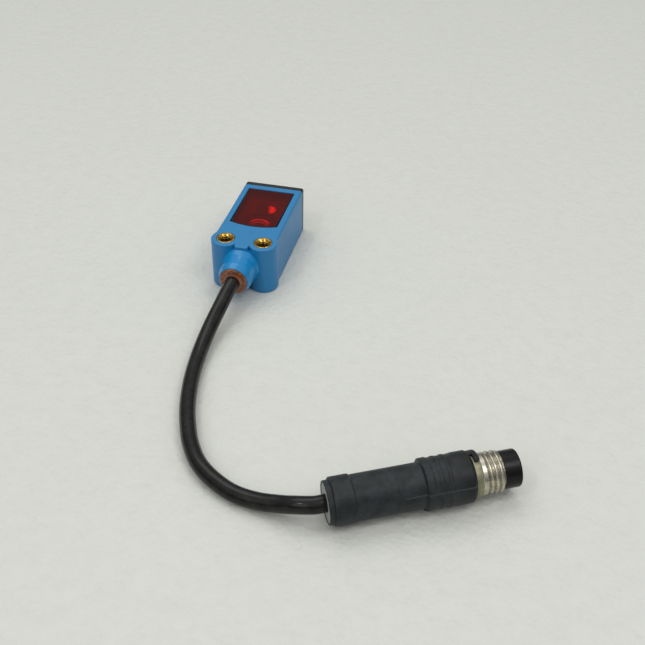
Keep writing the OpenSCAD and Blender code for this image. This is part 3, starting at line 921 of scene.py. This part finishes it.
def build_window():
    outline = window_outline()
    centre = outline.mean(0)
    towards = centre - outline
    towards /= np.linalg.norm(towards, axis=1)[:, None]
    edge = np.full(len(outline), 0.36)
    face_z = WINDOW_HIGH[2] - CLEARANCE
    rows = rounded_stack(outline, towards, edge, edge, WINDOW_LOW[2], face_z, 4)
    window = new_piece("front_window", tidy_mesh("window", grid_bmesh(rows, capped=True)))
    stand_for(window, tinted_window(colours().window), "window")
    # Painted shade: the window's rounded edge and sides are painted black, for the shade in the gap
    # around it.
    black = linear("#0e0b0d")
    bead = moulded_plastic("black, painted shade of the gap", black, 0.4, gloss=0.2, tint=0.1)
    window.data.materials.append(bead)
    for face in window.data.polygons:
        level = abs(face.normal.z) > 0.999
        face.material_index = int(not level)


def build_cap():
    edge, corner = sizes().long_edge / MM, sizes().cap_corner / MM
    rear = sizes().rear_edge / MM
    half = HALF_WIDTH
    section = rounded([(-half, 0, rear), (half, 0, rear), (half, DEPTH, edge), (-half, DEPTH, edge)])
    x, z = section.T
    towards = np.zeros_like(section)
    towards[:, 0] = np.where(np.abs(x) > half - edge, -np.sign(x), 0)
    towards[:, 1] = np.where(z < rear * 1.01, 1, np.where(z > DEPTH - edge * 1.01, -1, 0))
    face_edge = 0.3
    far_r = np.where(z < DEPTH / 2, corner, face_edge)
    joint_groove = 0.07
    rows = []
    for y, inset in ((CAP_JOINT, joint_groove), (CAP_JOINT + joint_groove, 0.0)):
        flat = section + towards * inset
        rows.append(np.column_stack([flat[:, 0], np.full(len(flat), y), flat[:, 1]]))
    steps = 8
    side_share = 0.45
    for k in range(steps + 1):
        a = math.pi / 2 * k / steps
        inset = (far_r * (1 - math.cos(a)))[:, None] * np.array([side_share, 1])
        flat = section + towards * inset
        y = CAP_END - far_r * (1 - math.sin(a))
        rows.append(np.column_stack([flat[:, 0], y, flat[:, 1]]))
    block = tidy_mesh("top_cap", grid_bmesh(rows, capped=True))
    screw_x, _, screw_z = middle_of("adjuster_screw")
    seal_low, seal_high = span("adjuster_seal")
    neck = 1.55
    seal_bore = (seal_high[0] - seal_low[0]) / 2 + CLEARANCE
    shoulder = seal_high[1] + CLEARANCE
    hole = [
        (0, CAP_JOINT - 1), (seal_bore, CAP_JOINT - 1), (seal_bore, shoulder), (neck, shoulder),
        (neck, CAP_END - 0.15), (neck + 0.2, CAP_END), (neck + 0.2, CAP_END + 1), (0, CAP_END + 1),
    ]
    cutters = [turned("hole", hole, along_y(screw_x, screw_z, 1), 64)]
    for node in ("green_light_pipe", "yellow_light_pipe"):
        low, high = span(node)
        gap = np.array([CLEARANCE, 3, CLEARANCE])
        cutters.append(tidy_mesh("slot", box_bmesh(low - gap, high + gap)))
    cap = new_piece("black_cap", cut_away(block, cutters))
    plastic = moulded_plastic("black ABS, moulded", colours().cap, 0.36, grain_depth=0.003, tint=0.1)
    stand_for(cap, plastic, "top_cap")


# ---- Inserts and cable outlet ----


def build_inserts():
    low, high = span("insert_right")
    outer = (high[0] - low[0]) / 2
    core, major, mouth = 1.25, 1.5, 1.75
    chamfer = 0.08
    pitch = sizes().insert_pitch / MM
    rows_per_turn = 12
    brass = turned_brass(colours().brass)
    bore = []
    for z in np.linspace(DEPTH - 0.12, 0.12, round((DEPTH - 0.3) / pitch * rows_per_turn)):
        thread = thread_radius(core, major, pitch, z)
        widest = mouth - min(z, DEPTH - z)
        bore.append((lambda a, thread=thread, widest=widest: np.maximum(thread(a), widest), z))
    shell = [
        (outer, chamfer), (outer, DEPTH - chamfer), (outer - chamfer, DEPTH), (mouth + 0.03, DEPTH),
        (mouth - 0.05, DEPTH - chamfer),
    ]
    foot = [(mouth - 0.05, chamfer), (mouth + 0.03, 0), (outer - chamfer, 0)]
    for side, node in ((-1, "insert_left"), (1, "insert_right")):
        mesh = turned(node, shell + bore + foot, upright(side * INSERT_X, 0), 64)
        insert = new_piece("threaded_" + node, mesh, THREAD_CREASE)
        stand_for(insert, brass, node)


def build_outlet():
    """The outlet's turned shape with the bosses and the web taken out, and the resin in its mouth."""
    radius, bore = 4.0, 3.3
    back, floor = 1.6, 4.2
    end = OUTLET_END
    root = radius + 0.7
    outline = rounded(
        [
            (CABLE_CHANNEL_R, back, 0), (root, back, 0), (root, WEB_FRONT + 0.15, 0.3),
            (radius + 0.25, 4.5, 1), (radius + 0.06, 6.2, 2.5), (radius - 0.02, end - 1.5, 1.6),
            (bore + 0.2, end, 0.1), (bore, end, 0.04), (bore, floor, 0), (CABLE_CHANNEL_R, floor, 0),
        ],
        8,
    )
    shell = turned("cable_outlet", outline, along_y(0, OUTLET_Z), 128)
    boss = [(0, -1), (BOSS_R + 0.01, -1), (BOSS_R + 0.01, DEPTH + 1), (0, DEPTH + 1)]
    cutters = [turned("boss", boss, upright(side * INSERT_X, 0), 160) for side in (-1, 1)]
    flat_half = WEB_HALF - 0.7
    web = box_bmesh((-flat_half, -WEB_FRONT - 0.01, -1), (flat_half, 1, DEPTH + 1))
    cutters.append(tidy_mesh("web", web))
    outlet = new_piece("outlet_shell", cut_away(shell, cutters))
    smooth = moulded_plastic("blue polyester, moulded smooth", colours().outlet, 0.17, grain_depth=0.001)
    stand_for(outlet, smooth, "cable_outlet")
    reach = bore - CLEARANCE
    cable_gap = CABLE_R + CLEARANCE
    bead = bore + 0.22
    tip = -span("potting_plug")[0][1]
    outline = rounded(
        [
            (cable_gap, floor + 0.1, 0), (reach, floor + 0.1, 0), (reach, end + CLEARANCE, 0),
            (bead, end + CLEARANCE, 0.05), (bead - 0.08, end + 0.1, 0.1), (bead - 0.5, end + 0.42, 0.4),
            (cable_gap + 0.5, end + 0.42, 0.4), (cable_gap, tip, 0.03),
        ],
        8,
    )

    def lumpy(r, y):
        """The bead's rim wanders in and out, as it does where resin was dripped in by hand."""
        share = 0.09 * min(1, max(0, (r - cable_gap - 0.4) / 0.8)) * (y > end)

        def radius(a):
            return r - share * (1 + 0.5 * np.sin(3 * a + 0.4) + 0.5 * np.sin(5 * a + 2) * np.sin(2 * a))

        return radius

    outline = [(lumpy(r, y), y) for r, y in outline]
    resin = new_piece("resin", turned("potting_plug", outline, along_y(0, OUTLET_Z)))
    stand_for(resin, potting_resin(colours().potting), "potting_plug")


# ---- Behind the window ----


def lens_outline(radius, rim, dome):
    """Section of a domed lens on its flat side, from the axis out and back over the dome."""
    dome_r = (radius**2 + dome**2) / (2 * dome)
    reach = math.degrees(math.asin(radius / dome_r))
    over = arc((0, rim + dome - dome_r), dome_r, 90 - reach, 90, 24)
    return [(0, 0), (radius, 0), *[tuple(p) for p in over]]


def build_optics():
    """The lenses, each with where its painted glint, a glowing crescent, lies: how far out as a share of
    its radius, half its width, its bearing and reach in degrees, and how much the painted glint glows."""
    # The carrier is painted nearly black around the receiver: painted shade.
    dress("optics_carrier", carrier_with_painted_shade(middle_of("receiver_lens")))
    rim, dome = 0.5, 0.5
    for node, ring_share, half_width, bearing, reach, painted_glow in (
        ("receiver_lens", 0.82, 0.6, 92, 78, 1.3),
        ("sender_lens", 0.64, 1.1, 16, 72, 1.7),
    ):
        low, high = span(node)
        centre = middle_of(node)
        radius = (high[0] - low[0]) / 2
        place = Matrix.Translation((centre[0], centre[1], low[2]))
        mesh = turned(node, lens_outline(radius, rim, dome), place, 72)
        lens = new_piece(node.replace("lens", "dome"), mesh)
        name = "clear moulded acrylic, " + node.replace("_", " ")
        acrylic = lens_acrylic(name, centre, radius * ring_share, half_width, bearing, reach, painted_glow)
        stand_for(lens, acrylic, node)


def build_electronics():
    dress("main_board", solder_mask())
    for node, name, hex_colour, roughness, relief in (
        ("controller_chip", "black epoxy package", "#1b1c1e", 0.5, {"grain_mm": 0.08}),
        ("photodiode", "dark clear epoxy", "#232833", 0.2, {"grain_depth": 0.001}),
        ("board_parts", "fired ceramic", "#a58f6e", 0.45, {"grain_mm": 0.1, "tint": 0.15}),
        ("emitter_led", "white ceramic package", "#e8e2d0", 0.4, {"grain_mm": 0.1}),
    ):
        dress(node, moulded_plastic(name, linear(hex_colour), roughness, **relief))
    for node, name, hex_colour in (
        ("green_led", "green lamp resin", "#bfe8c0"),
        ("yellow_led", "yellow lamp resin", "#f3e6a0"),
        ("green_light_pipe", "green polycarbonate", "#6fbf85"),
        ("yellow_light_pipe", "yellow polycarbonate", "#e9bf45"),
    ):
        dress(node, light_pipe_plastic(name, hex_colour))


def build_adjuster():
    dress("adjuster_body", moulded_plastic("blue diallyl phthalate", linear("#2b4c86"), 0.4))
    dress("adjuster_terminals", plated_metal("tinned copper", linear("#cfd2d4"), 0.3))
    ink = moulded_plastic("printed resistance ink", linear("#3a3330"), 0.5, grain_mm=0.05)
    dress("adjuster_track", ink)
    dress("adjuster_wiper", plated_metal("spring brass", linear("#d8c070"), 0.25))
    dress("adjuster_seal", moulded_rubber("nitrile rubber", linear("#1d1d1e"), 0.45, 0.15))
    low, high = span("adjuster_screw")
    x, _, z = middle_of("adjuster_screw")
    flange_r = (high[0] - low[0]) / 2
    head_r, groove_r = 1.5, 1.15
    bottom, top = low[1], high[1]
    groove, groove_end = (corner[1] for corner in span("adjuster_seal"))
    outline = rounded(
        [
            (0, bottom, 0), (flange_r, bottom, 0.05), (flange_r, bottom + 1, 0.05),
            (head_r, bottom + 1, 0), (head_r, groove, 0), (groove_r, groove, 0),
            (groove_r, groove_end, 0), (head_r, groove_end, 0), (head_r, top, 0.15), (0, top, 0),
        ],
        5,
    )
    blank = turned("adjuster_screw", outline, along_y(x, z, 1), 72)
    slot_half, slot_depth = 0.3, 0.6
    slot = box_bmesh((x - slot_half, top - slot_depth, z - 3), (x + slot_half, top + 1, z + 3))
    screw = new_piece("slotted_screw", cut_away(blank, [tidy_mesh("slot", slot)]))
    acetal = moulded_plastic("white acetal", linear("#d9d4c6"), 0.35, grain_depth=0.002)
    stand_for(screw, acetal, "adjuster_screw")


def build_wires():
    for tint, hex_colour in (
        ("brown", "#6b4226"),
        ("white", "#e8e6df"),
        ("blue", "#2f5fa8"),
        ("black", "#1a1a1a"),
    ):
        skin = moulded_plastic(tint + " wire PVC", linear(hex_colour), 0.35, grain_mm=0.3)
        dress(tint + "_wire", skin)


# ---- Plug ----

# Where the grip's mould parts, as an angle from the underside, and where its raised panel begins
PARTING = 67.5
PANEL_START = 13.9

# The way through the grip: around the cable, and where the inner mould fills it
GRIP_BORE_R = 1.75
INNER_MOULD_R = 3.5
INNER_MOULD_START = 12


def grip_radius(u, base):
    """Radius of the grip at height u as a function of the angle, with its moulded relief: the parting
    line on both sides and the shallow raised panel towards the ribs."""
    flash, flash_width = 0.12, 0.16
    panel = 0.1

    def radius(angles):
        r = np.full(len(angles), float(base))
        if u <= PANEL_START:
            return r
        for half in (0, 180):
            off = (angles - math.radians(PARTING + half) + math.pi) % TURN - math.pi
            r += flash * np.exp(-((off * base / flash_width) ** 2))
            above = (off < 0) & (off > -1)
            r[above] += panel * (1 - off[above] ** 2)
        return r

    return radius


def curved_tab(inner, outer, start, end, first, last, edge):
    """Tongue that follows the plug's round side between two angles, with rounded edges all round."""
    steps = 60
    corner = 0.45
    tip, tip_share = 0.15, 0.7
    middle = np.array([(inner + outer) / 2, (start + end) / 2])
    corners = ((inner, start), (outer, start), (outer, end), (inner, end))
    outline = rounded([(*place, edge) for place in corners], 4)
    rows = []
    for angle in np.radians(np.linspace(first, last, steps + 1)):
        left = min(angle - math.radians(first), math.radians(last) - angle) * outer
        drop = corner - math.sqrt(max(0, corner**2 - max(0, corner - left) ** 2))
        shape = outline - middle
        shape[:, 1] = np.sign(shape[:, 1]) * np.maximum(np.abs(shape[:, 1]) - drop, 0.05)
        shape[:, 0] *= 1 if left > tip else tip_share
        r, u = (shape + middle).T
        rows.append(np.stack([r * math.cos(angle), r * math.sin(angle), u], 1))
    bm = grid_bmesh(rows, capped=True)
    bmesh.ops.transform(bm, matrix=on_plug(), verts=bm.verts)
    return bm


def grip_outline():
    """Section of the grip from its cable end: the half collar, the slim middle, and the thicker front
    with its three groups of grooves."""
    half_collar, middle, front = 4.55, 4.3, 4.95
    deep = front - sizes().rib_depth / MM
    shallow = front - sizes().rib_depth / MM / 4
    rib = 0.35
    back, end = END_RING_T + CLEARANCE, GRIP_END - CLEARANCE
    corners = [
        (GRIP_BORE_R, back, 0), (half_collar, back, 0.35), (half_collar, COLLAR_END, 0.2),
        (middle, COLLAR_END + 0.25, 0.15), (middle, PANEL_START - 0.05, 0),
        (middle, PANEL_START + 0.05, 0), (middle, GRIP_STEP - 0.2, 0.1), (front, GRIP_STEP, 0.25),
        (front, GRIP_STEP + 1.3, 0.1), (deep, GRIP_STEP + 1.45, 0.1),
    ]
    for start in (GRIP_STEP + 2.4, GRIP_STEP + 4.1):
        corners += [
            (deep, start, 0.06), (shallow, start + 0.15, 0.1), (shallow, start + rib + 0.25, 0.1),
            (deep, start + rib + 0.4, 0.06),
        ]
    corners += [
        (deep, GRIP_STEP + 5.6, 0.2), (front - 0.03, GRIP_STEP + 6.4, 0.3),
        (front - 0.03, GRIP_END - 0.5, 0.35), (front - 0.5, end, 0.2), (INNER_MOULD_R, end, 0),
        (INNER_MOULD_R, INNER_MOULD_START, 0), (GRIP_BORE_R, INNER_MOULD_START, 0),
    ]
    return rounded(corners, 4)


def build_grip():
    """The grip, moulded with the tab on the threaded side, and the ring on its cable end."""
    skin_r, row_step = 3.9, 0.6
    skin_start, skin_end = END_RING_T + 0.5, GRIP_END - 0.6
    outline = [(r, u, r > skin_r and skin_start < u < skin_end) for r, u in grip_outline()]
    dense = []
    for (r0, u0, skin), (r1, u1, skin_next) in zip(outline, outline[1:] + outline[:1]):
        pieces = max(1, int(abs(u1 - u0) / row_step)) if skin and skin_next else 1
        for k in range(pieces):
            t = k / pieces
            r, u = r0 + (r1 - r0) * t, u0 + (u1 - u0) * t
            dense.append((grip_radius(u, r) if skin else r, u))
    root = curved_tab(4.22, 4.68, GRIP_END - 0.4, GRIP_END + 0.7, 124, 166, 0.15)
    tab = curved_tab(4.25, 4.7, GRIP_END + 0.36, THREAD_START - 0.1, 124, 190, 0.18)
    grip = new_piece("grip", joined("plug_grip", [turned_bmesh(dense, on_plug(), 160), root, tab]))
    turn = math.radians(PARTING)
    across = on_plug().to_3x3() @ Vector((-math.sin(turn), math.cos(turn), 0))
    rubber = moulded_rubber(
        "moulded polyurethane, dark grey", colours().grip, dust_share=0.4, parting=(across, PANEL_START)
    )
    stand_for(grip, rubber, "plug_grip")
    filler_r, ring_r = 3.75, 4.1
    ring = rounded(
        [
            (GRIP_BORE_R, 0.12, 0), (filler_r, 0.12, 0), (filler_r + 0.03, 0, 0.02), (ring_r, 0, 0.15),
            (ring_r, END_RING_T, 0), (GRIP_BORE_R, END_RING_T, 0),
        ],
        5,
    )
    end_ring = new_piece("end_ring", turned("plug_end_ring", ring, on_plug()))
    stand_for(end_ring, rubber, "plug_end_ring")
    end_ring.data.materials.append(moulded_rubber("pale grey filler", linear("#a2a49f"), 0.5, 0.3))
    back = -Vector(PLUG_AXIS)
    for face in end_ring.data.polygons:
        flat = face.normal.dot(back) > 0.99
        inside = (Vector(face.center) / MM - Vector(PLUG_END)).cross(back).length < filler_r
        face.material_index = int(flat and inside)
    dress("plug_inner_mould", moulded_plastic("dark polyamide", linear("#3c3c3c"), 0.5))


# Inside the sleeve: where it starts, and its foot, which the contact carrier sits against
SLEEVE_START = 23.4
SLEEVE_FOOT_R = 3.48


def build_sleeve():
    """Smooth collar, then a full M8 thread that runs out at the chamfered end."""
    core, major, bore = 3.5, 4.0, 3.05
    pitch = sizes().plug_pitch / MM
    rows_per_turn = 32
    run_in_start, run_in_length = 0.75, 0.2
    chamfer = 0.35
    phase = 0.7
    outline = [
        (bore, SLEEVE_START), (SLEEVE_FOOT_R, SLEEVE_START), (SLEEVE_FOOT_R, GRIP_END), (4.1, GRIP_END),
        (4.2, GRIP_END + 0.08), (4.2, THREAD_START - 0.25), (4.15, THREAD_START - 0.15),
        (major, THREAD_START),
    ]
    count = round((THREAD_END - THREAD_START) / pitch * rows_per_turn)
    for u in np.linspace(THREAD_START + 0.02, THREAD_END, count):
        run_in = np.clip((u - THREAD_START - run_in_start) / run_in_length, 0, 1)
        widest = major - max(0, u - THREAD_END + chamfer)
        thread = thread_radius(major, major - (major - core) * run_in, pitch, u, phase)
        outline.append((lambda a, thread=thread, widest=widest: np.minimum(thread(a), widest), u))
    outline += [(bore + 0.1, THREAD_END), (bore, THREAD_END - 0.1)]
    sleeve = new_piece("sleeve", turned("threaded_sleeve", outline, on_plug(), 144), THREAD_CREASE)
    nickel = plated_metal("nickel-plated brass", colours().nickel, 0.26, dull=0.75)
    stand_for(sleeve, nickel, "threaded_sleeve")
    sleeve.data.materials.append(plated_metal("nickel plate, bead-blasted", linear("#98967d"), 0.5))
    collar_end = Vector(PLUG_END) + Vector(PLUG_AXIS) * (THREAD_START - 0.1)
    for face in sleeve.data.polygons:
        on_collar = (Vector(face.center) / MM - collar_end).dot(Vector(PLUG_AXIS)) < 0
        face.material_index = int(on_collar)


def build_nose():
    """Contact carrier with its hollow and key, and the four pins in it."""
    body, nose, hollow = 3.03, 3.6, 2.5
    foot, foot_end = 20.42, SLEEVE_START - CLEARANCE
    floor = NOSE_END - 5.5
    shoulder = THREAD_END + CLEARANCE
    outline = rounded(
        [
            (0, foot, 0), (SLEEVE_FOOT_R, foot, 0), (SLEEVE_FOOT_R, foot_end, 0), (body, foot_end, 0),
            (body, shoulder, 0), (nose, shoulder, 0.08), (nose, NOSE_END, 0.35),
            (hollow, NOSE_END, 0.15), (hollow, floor, 0), (0, floor, 0),
        ]
    )
    key_half = 0.45
    key = box_bmesh((-hollow - 0.1, -key_half, floor), (-hollow + 0.4, key_half, NOSE_END - 0.4))
    bmesh.ops.transform(key, matrix=on_plug(), verts=key.verts)
    carrier = new_piece("nose", joined("contact_carrier", [turned_bmesh(outline, on_plug(), 120), key]))
    black = moulded_plastic(
        "black polyamide, polished", colours().nose, 0.32, grain_depth=0.002, gloss=0.2
    )
    stand_for(carrier, black, "contact_carrier")
    circle_r, pin_r, start, tip = 1.35, 0.4, 20.5, NOSE_END - 0.9
    pin = rounded(
        [
            (0, start, 0), (pin_r, start, 0), (pin_r, tip - 0.25, 0.2), (pin_r / 2, tip, 0.15),
            (0, tip, 0),
        ],
        4,
    )
    pins = []
    for quarter in range(4):
        turn = math.radians(45 + 90 * quarter)
        place = on_plug() @ upright(circle_r * math.cos(turn), circle_r * math.sin(turn))
        pins.append(turned_bmesh(pin, place, 32))
    contacts = new_piece("pins", joined("contact_pins", pins))
    gold = plated_metal("gold-plated contacts", linear("#e0bb62"), 0.18, 0.4)
    stand_for(contacts, gold, "contact_pins")


# ---- Operators, panel and registration ----


class Undoable:
    """What the operators share"""

    bl_options = {"REGISTER", "UNDO"}


class SENSOR_OT_camera(Undoable, bpy.types.Operator):
    """Place the camera"""

    bl_idname = "sensor.camera"
    bl_label = "Camera"

    def execute(self, context):
        build_camera()
        return {"FINISHED"}


class SENSOR_OT_plug_grip(Undoable, bpy.types.Operator):
    """Build the plug's moulded grip, its alignment tab and its end ring"""

    bl_idname = "sensor.plug_grip"
    bl_label = "Plug grip"

    def execute(self, context):
        build_grip()
        return {"FINISHED"}


class SENSOR_OT_plug_sleeve(Undoable, bpy.types.Operator):
    """Build the plug's threaded sleeve"""

    bl_idname = "sensor.plug_sleeve"
    bl_label = "Threaded sleeve"

    def execute(self, context):
        build_sleeve()
        return {"FINISHED"}


class SENSOR_OT_plug_nose(Undoable, bpy.types.Operator):
    """Build the plug's contact carrier and pins"""

    bl_idname = "sensor.plug_nose"
    bl_label = "Plug nose"

    def execute(self, context):
        build_nose()
        return {"FINISHED"}


class SENSOR_OT_cable(Undoable, bpy.types.Operator):
    bl_idname = "sensor.cable"
    bl_label = "Cable"

    def execute(self, context):
        cable, path = build_cable()
        return {"FINISHED"}


class SENSOR_OT_housing(Undoable, bpy.types.Operator):
    """Build the moulded housing with its bosses, window seat and insert holes"""

    bl_idname = "sensor.housing"
    bl_label = "Housing"

    def execute(self, context):
        build_housing()
        return {"FINISHED"}


class SENSOR_OT_window(Undoable, bpy.types.Operator):
    """Build the tinted front window"""

    bl_idname = "sensor.window"
    bl_label = "Window"

    def execute(self, context):
        build_window()
        return {"FINISHED"}


class SENSOR_OT_cap(Undoable, bpy.types.Operator):
    """Build the black cap with its openings for the adjuster and the indicators"""

    bl_idname = "sensor.cap"
    bl_label = "Cap"

    def execute(self, context):
        build_cap()
        return {"FINISHED"}


class SENSOR_OT_inserts(Undoable, bpy.types.Operator):
    """Build the two threaded inserts"""

    bl_idname = "sensor.inserts"
    bl_label = "Inserts"

    def execute(self, context):
        build_inserts()
        return {"FINISHED"}


class SENSOR_OT_outlet(Undoable, bpy.types.Operator):
    """Build the cable outlet and the resin in its mouth"""

    bl_idname = "sensor.outlet"
    bl_label = "Cable outlet"

    def execute(self, context):
        build_outlet()
        return {"FINISHED"}


class SENSOR_OT_optics(Undoable, bpy.types.Operator):
    """Build the lenses and finish their carrier"""

    bl_idname = "sensor.optics"
    bl_label = "Optics"

    def execute(self, context):
        build_optics()
        return {"FINISHED"}


class SENSOR_OT_electronics(Undoable, bpy.types.Operator):
    """Finish the board, its parts, the lamps and their light pipes"""

    bl_idname = "sensor.electronics"
    bl_label = "Electronics"

    def execute(self, context):
        build_electronics()
        return {"FINISHED"}


class SENSOR_OT_adjuster(Undoable, bpy.types.Operator):
    """Build the adjuster's slotted screw and finish its other parts"""

    bl_idname = "sensor.adjuster"
    bl_label = "Adjuster"

    def execute(self, context):
        build_adjuster()
        return {"FINISHED"}


class SENSOR_OT_wires(Undoable, bpy.types.Operator):
    """Finish the four wires inside the housing"""

    bl_idname = "sensor.wires"
    bl_label = "Wires"

    def execute(self, context):
        build_wires()
        return {"FINISHED"}


class SENSOR_OT_stage(Undoable, bpy.types.Operator):
    """Lay the floor and hang the lamps"""

    bl_idname = "sensor.stage"
    bl_label = "Stage"

    def execute(self, context):
        build_stage()
        return {"FINISHED"}


OPERATORS = (
    SENSOR_OT_camera,
    SENSOR_OT_plug_grip,
    SENSOR_OT_plug_sleeve,
    SENSOR_OT_plug_nose,
    SENSOR_OT_cable,
    SENSOR_OT_housing,
    SENSOR_OT_window,
    SENSOR_OT_cap,
    SENSOR_OT_inserts,
    SENSOR_OT_outlet,
    SENSOR_OT_optics,
    SENSOR_OT_electronics,
    SENSOR_OT_adjuster,
    SENSOR_OT_wires,
    SENSOR_OT_stage,
)


class SENSOR_PT_panel(bpy.types.Panel):
    """Settings and steps of the sensor"""

    bl_idname = "SENSOR_PT_panel"
    bl_label = "Photoelectric sensor"
    bl_space_type = "VIEW_3D"
    bl_region_type = "UI"
    bl_category = "Sensor"

    def draw(self, context):
        settings = context.scene.sensor
        for group in (settings.sizes, settings.colours):
            box = self.layout.box()
            for name in group.__annotations__:
                box.prop(group, name)
        for operator in OPERATORS:
            self.layout.operator(operator.bl_idname)


CLASSES = (SensorSizes, SensorColours, SensorSettings, *OPERATORS, SENSOR_PT_panel)


def register():
    for cls in CLASSES:
        bpy.utils.register_class(cls)
    bpy.types.Scene.sensor = bpy.props.PointerProperty(type=SensorSettings)


def unregister():
    del bpy.types.Scene.sensor
    for cls in reversed(CLASSES):
        bpy.utils.unregister_class(cls)


def main():
    register()
    for operator in OPERATORS:
        group, name = operator.bl_idname.split(".")
        getattr(getattr(bpy.ops, group), name)()


if __name__ == "__main__":
    main()
